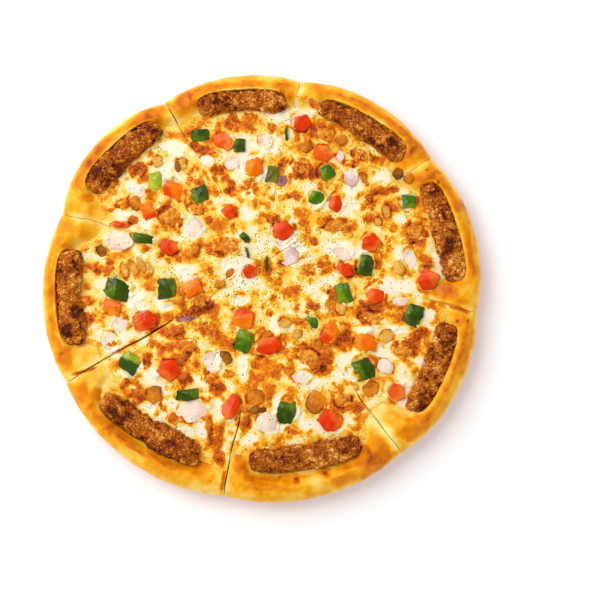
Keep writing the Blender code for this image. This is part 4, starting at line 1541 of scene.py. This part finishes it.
@dataclass(frozen=True)
class Dough(Layer):
    """A slice's base with its raised crust, the side that the pan fried and the kebab's bed.

    Its rows start tip_start from the tip. The mottlings are its browning's, the painted rim
    highlight's, the fried side's streaks, and those by which the painted crease shade beside the kebab
    wanders and ends.
    """

    tip_start: float = 0.4
    floor_rows: int = 14
    crust_rows: int = 52
    side_rows: int = 10
    lip: float = 0.02
    blotches: Mottling = Mottling(0.22, 19.0, 90, 3)
    flecks: Mottling = Mottling(0.17, 5.5, 91, 3)
    rim_highlight_mottling: Mottling = Mottling(0.14, 14.0, 96)
    streaks: Mottling = Mottling(0.14, 8.0, 92, 3)
    crease_shade_wander: Mottling = Mottling(1.6, 9.0, 94, 3)
    crease_shade_presence: Mottling = Mottling(1.6, 8.0, 95)

    def pan_side(self) -> tuple[Array, Array]:
        """Lays out the rows down the side that the pan fried.

        Returns:
            Their insets from the crust's outer edge and their heights.
        """
        part = np.linspace(0, 1, self.side_rows + 1)[1:]
        heights = CRUST_SHOULDER * (1 - part)
        steps = (0, SIDE_HEIGHT, CRUST_SHOULDER)
        insets = np.interp(heights, steps, (BASE_INSET, SIDE_INSET, self.lip))
        return insets, heights

    def form(self) -> Shell:
        """Builds the dough: a flat floor, the crust over it and the side down to the base."""
        length = self.wedge.length(self.ray_shares)
        start = self.foot_inset()
        steps = np.linspace(0, 1, self.floor_rows)[:, None]
        floor_outs = self.tip_start + (length - start - self.tip_start) * steps
        turn = np.linspace(0, 1, self.crust_rows)[:, None]
        insets = start - (start - self.lip) * (0.5 * turn + 0.5 * np.sin(turn * math.pi / 2))
        side_insets, side_heights = self.pan_side()
        side_outs = length - side_insets[:, None]
        outs = np.concatenate([floor_outs, length - insets, side_outs])
        x, y = self.wedge.place(np.broadcast_to(self.ray_shares, outs.shape), outs)
        inner_rows = self.floor_rows + self.crust_rows
        crust = self.bed(x, y, self.crust_height(x, y))[self.floor_rows : inner_rows]
        floor = np.full(floor_outs.shape, DOUGH_FLOOR)
        wall = np.broadcast_to(side_heights[:, None], side_outs.shape)
        z = np.concatenate([floor, np.maximum(crust, DOUGH_FLOOR), wall])
        rise = np.minimum(1, (z / DOUGH_FLOOR) * 0.5)
        dents = 0.35 * mottle(x + 3 * z, y, 6.0, 60 + self.number) * rise * (outs > length - 1.0)
        angle = np.arctan2(y, x)
        x, y = x + dents * np.cos(angle), y + dents * np.sin(angle)
        top = np.stack([x, y, z], axis=-1)
        return self.block(outs, top, 0.0, DOUGH_FLOOR, inner_rows, 0.975)

    def beside_kebab(self, x: Array, y: Array) -> Array:
        """Works out the crust beside the kebab: a pale rim, a band of browning and painted shade, and
        painted crease shade.

        Returns:
            What this adds to the brownness.
        """
        _, across = self.kebab.along_across(x, y)
        outside = self.kebab.outside(x, y)
        # The band is browning and painted shade; the creases are painted shade.
        browned = 0.22 * bell(outside, 3.4, 2.4) - 0.18 * bell(outside, 0.7, 0.9)
        crease_shade = bell(outside - 5.0 - self.crease_shade_wander.at(x, y), 0, 0.9)
        browned = browned + 0.22 * crease_shade * smooth(0.4 + self.crease_shade_presence.at(x, y))
        return browned * smooth(2 * across)

    def brownness(self, x: Array, y: Array, z: Array) -> Array:
        """Works out how brown the dough baked, from pale through golden and orange to burnt, with
        painted shade and highlight.

        Args:
            x, y: Places on the plan.
            z: Heights.

        Returns:
            Numbers from about 0 to 1.
        """
        inset = self.wedge.inset(x, y)
        depth = self.wedge.depth(x, y)
        wall = fade(z, 14.5, 8.5)
        low = 1.1 * np.maximum(16.5 - z, 0)  # slants the blotches on the side, where they'd be bars
        uneven = self.blotches.at(x + low, y - low) + self.flecks.at(x + low, y - low)
        brown = 0.41 + uneven * (1 - 0.75 * wall)
        brown = brown + 0.32 * patchwork(ORANGE, x, y, 0.9) + self.beside_kebab(x, y)
        brown = brown - 0.26 * fade(depth, 6, 0) * fade(inset, 2, 7) - 0.12 * bell(depth, 0, 1.6)
        # A pale band along the crust's outer rim is a painted highlight.
        torn = 0.16 + self.rim_highlight_mottling.at(x, y)
        brown = brown - torn * bell(inset, 1.1, 1.1) * fade(z, 12.5, 16)
        around = np.arctan2(y, x) * self.wedge.reach
        brown = brown + wall * (0.45 + self.streaks.at(around, 2.5 * z)) + 0.15 * fade(z, 5, 0)
        brown = brown - 0.2 * fade(inset - self.wedge.cheese_edge(x, y), -8, -1)
        brown = flattened(brown, 0.62, 0.55)
        brown = flattened(brown, 0.2, 0.6, over=False)
        # Thin lines in these patches, along the kebabs' pockets and the cuts, are painted shade.
        scorched_and_shaded = patchwork(SCORCHED_AND_SHADED, x, y, 0.7) * (z > 12)
        return brown + np.maximum(0.45 + 0.42 * scorched_and_shaded - brown, 0) * fade(scorched_and_shaded, 0, 0.3)

    def build(self, material: Material) -> Object:
        """Makes the dough.

        Args:
            material: Its finish.

        Returns:
            The piece.
        """
        shell = self.form()
        x, y, z = shell.all_points().T
        crumb = fade(self.wedge.depth(x, y), 0.5, 0.2) * fade(z, 19.5, 16.5)
        crumb = crumb * (self.wedge.inset(x, y) > 1.5)
        looks = {
            "brown": self.brownness(x, y, z),
            "crumb": crumb,
            "fried": fade(z, 3, 0) * (1 - crumb),
        }
        thing = shell.object(f"crust_{self.number}", looks)
        return finished(thing, material, "dough", f"dough_{self.number}")


@dataclass(frozen=True)
class Blistering:
    """A layer of blisters: the share that comes up anywhere, what gold adds to it, and their rise."""

    spacing: float
    seed: int
    common: float
    in_gold: float
    rise: float


@dataclass(frozen=True)
class Cheese(Layer):
    """A slice's cheese, with its toppings' rims, blisters, pools and a film up the crust's inner side.

    Its rows start tip_start from the tip and end outer_end inside the crust's outer edge, and
    the film is how thick it is at least on the crust. The rest are its blisters and unevenness.
    """

    toppings: Sequence[Lump] = ()
    tip_start: float = 0.5
    rows: int = 190
    outer_end: float = 6.5
    film: float = 0.35
    blisterings: tuple[Blistering, ...] = (
        Blistering(8.0, 31, 0.22, 0.1, 1.2),
        Blistering(4.0, 37, 0.16, 0.0, 0.8),
    )
    swells: Mottling = Mottling(0.9, 10.0, 32)
    ripples: Mottling = Mottling(0.3, 3.0, 33, 3)
    ragged_edge: Mottling = Mottling(2.0, 7.0, 44, 3)
    spreading: Mottling = Mottling(1.1, 13.0, 22)
    pools: Mottling = Mottling(0.16, 11.0, 22)
    flecks: Mottling = Mottling(0.12, 4.0, 23)
    toasted_flecks: Mottling = Mottling(0.10, 5.0, 24, 3)
    herb_drifts: Mottling = Mottling(0.8, 9.0, 28)

    def crumbs(self, x: Array, y: Array) -> Array:
        """Gives the fine grains of browned cheese, from 0 to 1."""
        return domes(x, y, 1.9, 41)[0]

    def around_toppings(self, x: Array, y: Array) -> tuple[Array, Array]:
        """Works out how the cheese lies round the toppings.

        Returns:
            How near a topping is, from 0 to 1, and how far the cheese climbs it in millimetres.
        """
        near = np.zeros(np.shape(x))
        lift = np.zeros(np.shape(x))
        for lump in self.toppings:
            away = lump.away(x, y)
            near = np.maximum(near, fade(away, 5, 0))
            creeps = 0.5 + lump.kind.creep * smooth(0.15 + 1.3 * mottle(x, y, 6.0, lump.seed))
            lift = np.maximum(lift, creeps * bell(away, 0.4, 1.7))
        return near, lift

    def toasted(self, x: Array, y: Array) -> Array:
        """Tells where the cheese is due to brown: in the toasted patches and in spots beside them."""
        spots = 0.4 * smooth(0.35 + self.spreading.at(x, y))
        return np.clip(np.maximum(patchwork(BROWNED, x, y), spots), 0, 1)

    def level(self, x: Array, y: Array) -> Array:
        """Gives the height of the open cheese, with its relief, blisters and rims round toppings."""
        toast = self.toasted(x, y)
        near, lift = self.around_toppings(x, y)
        uneven = CHEESE_RELIEF * relief(x, y, CHEESE_GRAIN, len(CUTS) + self.number - 1)
        aside = np.abs(2 * self.wedge.share(x, y) - 1)
        height = CHEESE_LEVEL + uneven * (1 - 0.6 * near) - CHEESE_DROOP * aside**DROOP_POWER * 0.5
        for layer in self.blisterings:
            inside = blisters(x, y, layer.spacing, layer.seed, layer.common + 0.5 * toast)
            height = height + layer.rise * fade(inside, -0.25, 0.55)
        height = height + self.swells.at(x, y) + self.ripples.at(x, y) * (0.5 + toast) + lift
        height = height + 0.45 * self.crumbs(x, y) * toast
        edge = np.maximum(self.wedge.depth(x, y), 0)
        return height - (0.12 + 0.5 * toast) * np.exp(-edge / 0.6)

    def height(self, x: Array, y: Array) -> Array:
        """Gives the height of the cheese, with the film that climbs the crust."""
        height = self.level(x, y)
        beyond = self.wedge.inset(x, y) - self.wedge.cheese_edge(x, y) + self.ragged_edge.at(x, y)
        crust = self.bed(x, y, self.crust_height(x, y))
        _, across = self.kebab.along_across(x, y)
        climb = np.where(across < 0.2, 0.6 - 1.6 * fade(beyond, 2, -4), -3.0)
        open_cheese = fade(beyond, -1, 7)
        height = np.maximum(height, np.where(beyond > 1.0, crust + self.film, 0.0))
        return (crust + climb) * (1 - open_cheese) + height * open_cheese

    def seared_and_shaded(self, x: Array, y: Array) -> Array:
        """Tells where the cheese darkens along parts of the toppings' rims: browning and painted shade.

        Returns:
            Numbers from 0 to 1.
        """
        total = np.zeros(np.shape(x))
        for lump in self.toppings:
            part = smooth(mottle(x, y, 7.0, lump.seed + 3) * 1.6 - 0.1)
            total = np.maximum(total, part * bell(lump.away(x, y), 0.5, 0.8))
        return total

    def baked(self, x: Array, y: Array) -> Array:
        """Works out how far the cheese baked, from cream through yellow and orange to burnt.

        Returns:
            Numbers from about 0 to 1.
        """
        due = patchwork(BROWNED, x, y)
        golden = patchwork(GOLDEN, x, y)
        creamy = patchwork(CREAMY, x, y) * (1 - 0.8 * due)
        dry = 1 - 0.85 * creamy
        baked = (self.pools.at(x, y) + self.flecks.at(x, y)) * (1 - 0.6 * creamy)
        baked = baked + 0.22 + 0.15 * golden - 0.20 * creamy
        baked = baked + 0.14 * due + due * self.toasted_flecks.at(x, y)
        for layer in self.blisterings:
            came_up = (layer.common + layer.in_gold * golden + 0.5 * due) * dry
            inside = blisters(x, y, layer.spacing, layer.seed, came_up)
            baked = baked + 0.05 * fade(inside, -0.9, 0)
            baked = baked + (0.12 + 0.09 * due) * fade(inside, -0.15, 0.15)
            baked = baked + (0.04 + 0.17 * due) * bell(inside, 0.08, 0.11)
        baked = baked + 0.14 * due * (self.crumbs(x, y) - 0.5)
        baked = flattened(0.3 + 1.2 * (baked - 0.3), 0.55, 0.4)
        # The burnt patches also hold thin lines of painted shade along cuts.
        # The toppings' rims are darkened by real browning and by painted shade.
        baked = baked + 0.22 * patchwork(BURNT_AND_SHADED, x, y) + 0.42 * self.seared_and_shaded(x, y)
        on_crust = fade(self.wedge.inset(x, y) - self.wedge.cheese_edge(x, y), 7, 0)
        return baked + (0.33 - baked) * 0.75 * on_crust

    def herbs(self, x: Array, y: Array, z: Array) -> Array:
        """Works out how thickly the herbs fell: most over the middle, in drifts, none on the sides.

        Args:
            x, y: Places on the plan.
            z: Heights.

        Returns:
            Numbers from 0 to 1.
        """
        middle = np.hypot(x - 3, y - 10)
        thick = (0.18 + 0.82 * bell(middle, 0, 62)) * (0.55 + self.herb_drifts.at(x, y))
        return np.clip(thick * (z > 15), 0, 1)

    def build(self, material: Material) -> Object:
        """Makes the cheese.

        Args:
            material: Its finish.

        Returns:
            The piece.
        """
        length = self.wedge.length(self.ray_shares)
        steps = np.linspace(0, 1, self.rows)[:, None]
        outs = self.tip_start + (length - self.outer_end - self.tip_start) * steps
        outs = np.concatenate([outs, length - self.foot_inset() - 0.2])
        x, y = self.wedge.place(np.broadcast_to(self.ray_shares, outs.shape), outs)
        foot = DOUGH_FLOOR + LAYER_GAP
        z = self.height(x, y)
        z[-1] = foot
        tip_top = CHEESE_LEVEL - CHEESE_DROOP - 0.9
        shell = self.block(outs, np.stack([x, y, z], axis=-1), foot, tip_top, self.rows, 0.98)
        x, y, z = shell.all_points().T
        looks = {
            "baked": self.baked(x, y),
            "sauce": 0.8 * fade(z, 13.6, 12.4),
            "herbs": self.herbs(x, y, z),
        }
        thing = shell.object(f"melted_cheese_{self.number}", looks)
        return finished(thing, material, "cheese", f"cheese_{self.number}")


@dataclass(frozen=True)
class Mince:
    """The grain of minced meat at each point.

    Knobs are the large granules, each with a shade of its own, fine are the small ones between
    them, and torn tells where the meat tore open.
    """

    knobs: Array
    shade: Array
    fine: Array
    torn: Array


@dataclass(frozen=True)
class KebabBar:
    """A slice's kebab, a blunt bar of minced meat with granules and torn pits.

    Its mesh has rings along it, each with so many sides. The girth is how many millimetres of the
    patterns lie along a radian round it, and a flatness under 1 makes its upper side flatter.
    """

    kebab: Kebab
    number: int
    rings: int = 150
    sides: int = 72
    girth: float = 7.0
    flatness: float = 0.75

    @property
    def seed(self) -> int:
        """The first of the seeds that its patterns take."""
        return 200 + 10 * self.number

    def mince(self, u: Array, v: Array) -> Mince:
        """Works out the meat's grain.

        Args:
            u: Places along the bar, in millimetres.
            v: Places round it.

        Returns:
            The grain.
        """
        warped_u = u + 1.6 * mottle(u, v, 6.0, self.seed + 8, 3)
        warped_v = v + 1.6 * mottle(u, v, 6.0, self.seed + 9, 3)
        turned_u, turned_v = 0.8 * warped_u + 0.3 * warped_v, warped_v - 0.5 * warped_u
        coarse, shade = domes(turned_u, turned_v, 3.4, self.seed, 0.15)
        fine, _ = domes(warped_u - 0.4 * warped_v, warped_v, 1.7, self.seed + 4, 0.2)
        torn = smooth(mottle(u, v, 4.5, self.seed + 7, 3) * 1.8 - 0.5)
        return Mince(np.sqrt(coarse), shade, fine, torn)

    def form(self, u: Array, v: Array, along: Array, mince: Mince) -> tuple[Array, Array]:
        """Works out where the bar's points lie.

        Args:
            u: Places along the bar, in millimetres.
            v: Places round it.
            along: Places along it from -1 to 1.
            mince: The meat's grain.

        Returns:
            Their X, Y and Z, and their places along the bar with its uneven ends.
        """
        kebab, seed = self.kebab, self.seed
        narrowing = (1 - np.abs(along) ** 5) ** 0.2
        across, up = np.cos(v / self.girth) * narrowing, np.sin(v / self.girth) * narrowing
        up = np.sign(up) * np.abs(up) ** self.flatness
        height = KEBAB_HEIGHT / 2
        lump = 1 + 0.9 / height * mottle(u, v, 11.0, seed + 2, 3)
        granules = 0.7 * mince.knobs * (0.4 + mince.shade) + 0.4 * mince.fine
        uneven = granules + 0.5 * mottle(u, v, 2.4, seed + 3, 3) - 1.4 * mince.torn - 0.6
        grainy = uneven / 7.0 * np.minimum(1, narrowing * 1.3)
        waist = 1 + 0.11 * mottle(u, 0 * v, 14.0, seed + 6) + kebab.taper * along
        aside = across * kebab.width / 2 * (lump + grainy) * waist
        slant = 0.5 * (unit_noise(self.number, 8) - 0.5)
        ends = mottle(v, 0 * u + np.sign(u) * 50, 5.0, seed + 1, 3)
        u = u * (1 + 0.04 * ends * np.abs(along) ** 3) + slant * aside * np.abs(along) ** 3
        aside = aside - kebab.outward() * KEBAB_BOW * along**2
        cosine, sine = math.cos(math.radians(kebab.turn)), math.sin(math.radians(kebab.turn))
        x = kebab.x + u * cosine - aside * sine
        y = kebab.y + u * sine + aside * cosine
        z = KEBAB_BASE + height + up * height * (lump * 0.97 + grainy)
        return np.stack([x, y, z], axis=-1), u

    def tone(self, u: Array, v: Array, points: Array, mince: Mince) -> Array:
        """Works out the meat's tone: granules of their own shades, charred places, and painted light
        and shade.

        Args:
            u: Places along the bar, in millimetres.
            v: Places round it.
            points: Where they lie on the pizza.
            mince: The meat's grain.

        Returns:
            Numbers from about 0 to 1.
        """
        zone = mottle(u, v, 9.0, self.seed + 5, 3)
        # Painted light lightens the granules' tops; painted shade darkens the gaps and the torn pits.
        tone = 0.19 + 0.20 * mince.knobs + 0.38 * mince.knobs * (mince.shade - 0.5)
        tone = tone + 0.12 * mince.fine + 0.24 * zone - 0.36 * mince.torn
        charred = patchwork(CHARRED, points[..., 0], points[..., 1])
        # Painted light lightens the bar's top and painted shade darkens its underside.
        return tone + 0.10 * np.sin(v / self.girth) - 0.45 * charred

    def build(self, material: Material) -> Object:
        """Makes the kebab.

        Args:
            material: Its finish.

        Returns:
            The piece.
        """
        turn = np.linspace(-math.pi / 2, math.pi / 2, self.rings + 2)[1:-1, None]
        around = np.linspace(-math.pi / 2, 1.5 * math.pi, self.sides, endpoint=False)[None]
        along = np.sin(turn)
        u = along * self.kebab.length / 2 + 0 * around
        v = (around + 0 * along) * self.girth
        mince = self.mince(u, v)
        points, u = self.form(u, v, along, mince)
        tone = self.tone(u, v, points, mince)
        shell = Shell()
        shell.add_tube(points)
        thing = shell.object(
            f"grilled_kebab_{self.number}", {"tone": np.concatenate([tone.ravel(), [0.4, 0.4]])}
        )
        return finished(thing, material, "kebab", f"kebab_{self.number}")


class Scatter:
    """A Geometry Nodes tree that strews small flakes over a collection of pieces."""

    def __init__(self, name: str) -> None:
        """Builds the tree with its named inputs.

        Args:
            name: The name of the tree.
        """
        self.tree = tree = bpy.data.node_groups.new(name, "GeometryNodeTree")
        sockets = {
            "Geometry": "Geometry",
            "Surfaces": "Collection",
            "Most per square metre": "Float",
            "Smallest": "Float",
            "Largest": "Float",
            "Narrowness": "Float",
            "Flatness": "Float",
            "Seed": "Int",
            "Finish": "Material",
        }
        for label, kind in sockets.items():
            tree.interface.new_socket(label, in_out="INPUT", socket_type=f"NodeSocket{kind}")
        tree.interface.new_socket("Geometry", in_out="OUTPUT", socket_type="NodeSocketGeometry")
        given = add(tree, "NodeGroupInput").outputs
        pieces = add(tree, "GeometryNodeCollectionInfo", {"Collection": given["Surfaces"]})
        surface = add(tree, "GeometryNodeRealizeInstances", {0: pieces.outputs[0]})
        wanted = add(tree, "GeometryNodeInputNamedAttribute", {"Name": "herbs"}, data_type="FLOAT")
        facing = add(tree, "GeometryNodeInputNormal")
        upward = add(tree, "ShaderNodeSeparateXYZ", {0: facing.outputs[0]})
        lying = add(tree, "ShaderNodeMath", {0: upward.outputs[2], 1: 0.5}, operation="GREATER_THAN")
        factors = {0: wanted.outputs["Attribute"], 1: lying.outputs[0]}
        share = add(tree, "ShaderNodeMath", factors, operation="MULTIPLY")
        factors = {0: share.outputs[0], 1: given["Most per square metre"]}
        density = add(tree, "ShaderNodeMath", factors, operation="MULTIPLY")
        strewn = add(
            tree,
            "GeometryNodeDistributePointsOnFaces",
            {"Mesh": surface.outputs[0], "Density": density.outputs[0], "Seed": given["Seed"]},
            distribute_method="RANDOM",
        )
        flake = add(tree, "GeometryNodeMeshIcoSphere", {"Radius": 0.5, "Subdivisions": 1})
        size = add(
            tree,
            "FunctionNodeRandomValue",
            {2: given["Smallest"], 3: given["Largest"], "Seed": given["Seed"]},
            data_type="FLOAT",
        ).outputs[1]
        flat = add(tree, "ShaderNodeMath", {0: size, 1: given["Flatness"]}, operation="MULTIPLY")
        narrow = add(tree, "ShaderNodeMath", {0: size, 1: given["Narrowness"]}, operation="MULTIPLY")
        scale = add(tree, "ShaderNodeCombineXYZ", {0: size, 1: narrow.outputs[0], 2: flat.outputs[0]})
        spin = add(
            tree,
            "FunctionNodeRandomValue",
            {0: (-0.6, -0.6, 0.0), 1: (0.6, 0.6, 2 * math.pi)},
            data_type="FLOAT_VECTOR",
        )
        laid = add(
            tree,
            "GeometryNodeInstanceOnPoints",
            {
                "Points": strewn.outputs["Points"],
                "Instance": flake.outputs[0],
                "Rotation": spin.outputs[0],
                "Scale": scale.outputs[0],
            },
        )
        real = add(tree, "GeometryNodeRealizeInstances", {0: laid.outputs[0]}).outputs[0]
        dressed = add(tree, "GeometryNodeSetMaterial", {0: real, "Material": given["Finish"]})
        add(tree, "NodeGroupOutput", {0: dressed.outputs[0]})

    def strew(self, name: str, surfaces: Sequence[Object], seed: int, material: Material) -> Object:
        """Strews flakes over pieces.

        Args:
            name: The name of the piece that they make.
            surfaces: The pieces that they fall on.
            seed: Another seed puts them elsewhere.
            material: Their finish.

        Returns:
            The flakes as one plain mesh.
        """
        gathered = bpy.data.collections.new(name)
        bpy.context.scene.collection.children.link(gathered)
        for surface in surfaces:
            gathered.objects.link(surface)
        carrier = bpy.data.objects.new(name, bpy.data.meshes.new(name))
        bpy.context.scene.collection.objects.link(carrier)
        modifier = carrier.modifiers.new("strewn", "NODES")
        modifier.node_group = self.tree
        values = {
            "Surfaces": gathered,
            "Most per square metre": 330000.0,
            "Smallest": 0.4 * MM,
            "Largest": 1.3 * MM,
            "Narrowness": 0.6,
            "Flatness": 0.35,
            "Seed": seed,
            "Finish": material,
        }
        for item in self.tree.interface.items_tree:
            if item.in_out == "INPUT" and item.name in values:
                modifier[item.identifier] = values[item.name]
        graph = bpy.context.evaluated_depsgraph_get()
        mesh = bpy.data.meshes.new_from_object(carrier.evaluated_get(graph))
        carrier.modifiers.clear()
        bpy.data.objects.remove(carrier)
        bpy.data.collections.remove(gathered)
        return shown(name, mesh)


@dataclass(frozen=True)
class Finishes:
    """The materials of the pizza's own pieces."""

    dough: Material
    cheese: Material
    kebab: Material
    herb: Material
    diced: dict[Look, Material]


@dataclass(frozen=True)
class Slice:
    """One slice: its dough, cheese, kebab, toppings and herbs."""

    wedge: Wedge
    kebab: Kebab
    toppings: Sequence[Lump]

    def dice(self, looks: dict[Look, Material]) -> list[Object]:
        """Makes the slice's toppings.

        Args:
            looks: The finish for each look.

        Returns:
            The pieces that show on the slice.
        """
        pieces = []
        for lump in self.toppings:
            piece = Topping(lump, self.wedge).build()
            if not len(piece.data.polygons):
                bpy.data.objects.remove(piece)
                continue
            if lump.baked_in:
                finished(piece, looks[lump.look], "cheese", f"cheese_{self.wedge.number}")
            else:
                finished(piece, looks[lump.look], lump.kind.slot, lump.name)
            pieces.append(piece)
        return pieces

    def build(self, finishes: Finishes, scatter: Scatter) -> None:
        """Makes the slice.

        Args:
            finishes: The materials.
            scatter: What strews the herbs.
        """
        number = self.wedge.number
        Dough(self.wedge, self.kebab).build(finishes.dough)
        cheese = Cheese(self.wedge, self.kebab, toppings=self.toppings).build(finishes.cheese)
        KebabBar(self.kebab, number).build(finishes.kebab)
        surfaces = [cheese, *self.dice(finishes.diced)]
        flakes = scatter.strew(f"herbs_{number}", surfaces, number, finishes.herb)
        finished(flakes, finishes.herb, "cheese")


def all_wedges() -> Iterator[Wedge]:
    """Gives the plan of each slice in order."""
    for index, cut in enumerate(CUTS):
        yield Wedge(index + 1, cut, CUTS[(index + 1) % len(CUTS)], REACHES[index], CORNERS[index])


def toppings_of(wedge: Wedge) -> list[Lump]:
    """Lists the toppings that lie on a slice or reach into it.

    Args:
        wedge: The plan of the slice.

    Returns:
        The toppings, first those with a solid of their own.
    """
    found = []
    for seed, name in enumerate(sorted(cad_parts)):
        if name.startswith(tuple(kind.slot for kind in Kind)):
            lump = lump_from_node(name, seed)
            if wedge.depth(lump.middle[0], lump.middle[1]) > 0:
                found.append(lump)
    for kind, rows in BAKED_IN.items():
        for number, row in enumerate(rows, start=1):
            x, y, width = row[0], row[1], row[3]
            if wedge.depth(x, y) > 2 - width / 2:
                lump = lump_from_row(kind, number, row)
                lump.top.z += float(wedge.crest(np.array(x), np.array(y)))
                found.append(lump)
    return found


@dataclass(frozen=True)
class Studio:
    """The floor, the light and the camera, in metres, watts and, for the lens, millimetres.

    The floor lies a little under the pizza, so that the two don't share a plane. The frame takes
    in frame_width at the cheese's height.
    """

    floor_half: float = 3.0
    floor_level: float = -0.2 * MM
    lamp_place: tuple[float, float, float] = (-0.7, 0.6, 1.25)
    lamp_size: float = 1.1
    lamp_watts: float = 17.0
    horizon: float = 1.0
    zenith: float = 0.22
    lens: float = 100.0
    sensor: float = 36.0
    frame_width: float = 0.411
    aim: tuple[float, float] = (26.7 * MM, -9.6 * MM)

    def floor(self) -> None:
        """Lays a wide white floor under the pizza."""
        half = self.floor_half
        corners = [(-half, -half), (half, -half), (half, half), (-half, half)]
        mesh = bpy.data.meshes.new("floor")
        mesh.from_pydata([(x, y, self.floor_level) for x, y in corners], [], [(0, 1, 2, 3)])
        floor = shown("floor", mesh)
        floor.data.materials.append(StudioFloor().material())

    def lamp(self) -> None:
        """Hangs a square soft lamp that faces the pizza."""
        light = bpy.data.lights.new("key", "AREA")
        light.shape = "SQUARE"
        light.size = self.lamp_size
        light.energy = self.lamp_watts
        lamp = bpy.data.objects.new("key", light)
        lamp.location = self.lamp_place
        lamp.rotation_euler = (-Vector(self.lamp_place)).to_track_quat("-Z", "Y").to_euler()
        bpy.context.scene.collection.objects.link(lamp)

    def sky(self) -> None:
        """Fills the shadows from white walls all round under a dimmer ceiling."""
        world = bpy.data.worlds.new("studio")
        world.use_nodes = True
        tree = world.node_tree
        background = tree.nodes["Background"]
        background.inputs["Color"].default_value = linear("FFFFFF")
        facing = add(tree, "ShaderNodeTexCoord").outputs["Generated"]
        up = add(tree, "ShaderNodeSeparateXYZ", {0: facing}).outputs[2]
        limits = {0: up, 1: 0.35, 2: 0.95, 3: self.horizon, 4: self.zenith}
        strength = add(tree, "ShaderNodeMapRange", limits)
        tree.links.new(strength.outputs[0], background.inputs["Strength"])
        bpy.context.scene.world = world

    def camera(self) -> None:
        """Looks straight down on the pizza, which lies a little left of the frame's middle."""
        lens = bpy.data.cameras.new("camera")
        lens.lens = self.lens
        lens.sensor_width = self.sensor
        distance = self.frame_width / self.sensor * self.lens
        camera = bpy.data.objects.new("camera", lens)
        camera.location = (*self.aim, CHEESE_LEVEL * MM + distance)
        bpy.context.scene.collection.objects.link(camera)
        bpy.context.scene.camera = camera

    def build(self) -> None:
        """Sets up the studio."""
        self.floor()
        self.lamp()
        self.sky()
        self.camera()
        bpy.context.scene.view_settings.view_transform = "Standard"


def main() -> None:
    """Builds the pizza slice by slice, strews the herbs and sets up the studio."""
    logging.basicConfig(level=logging.INFO, format="%(name)s: %(message)s")
    cheese = MeltedCheese().material()
    dough = BakedCrust().material()
    kebab = GrilledKebab().material()
    herb = DriedHerb().material()
    finishes = Finishes(dough, cheese, kebab, herb, {look: look.value.material() for look in Look})
    scatter = Scatter("strewn herbs")
    for wedge, kebab_place in zip(all_wedges(), KEBABS):
        Slice(wedge, kebab_place, toppings_of(wedge)).build(finishes, scatter)
    Studio().build()


if __name__ == "__main__":
    main()
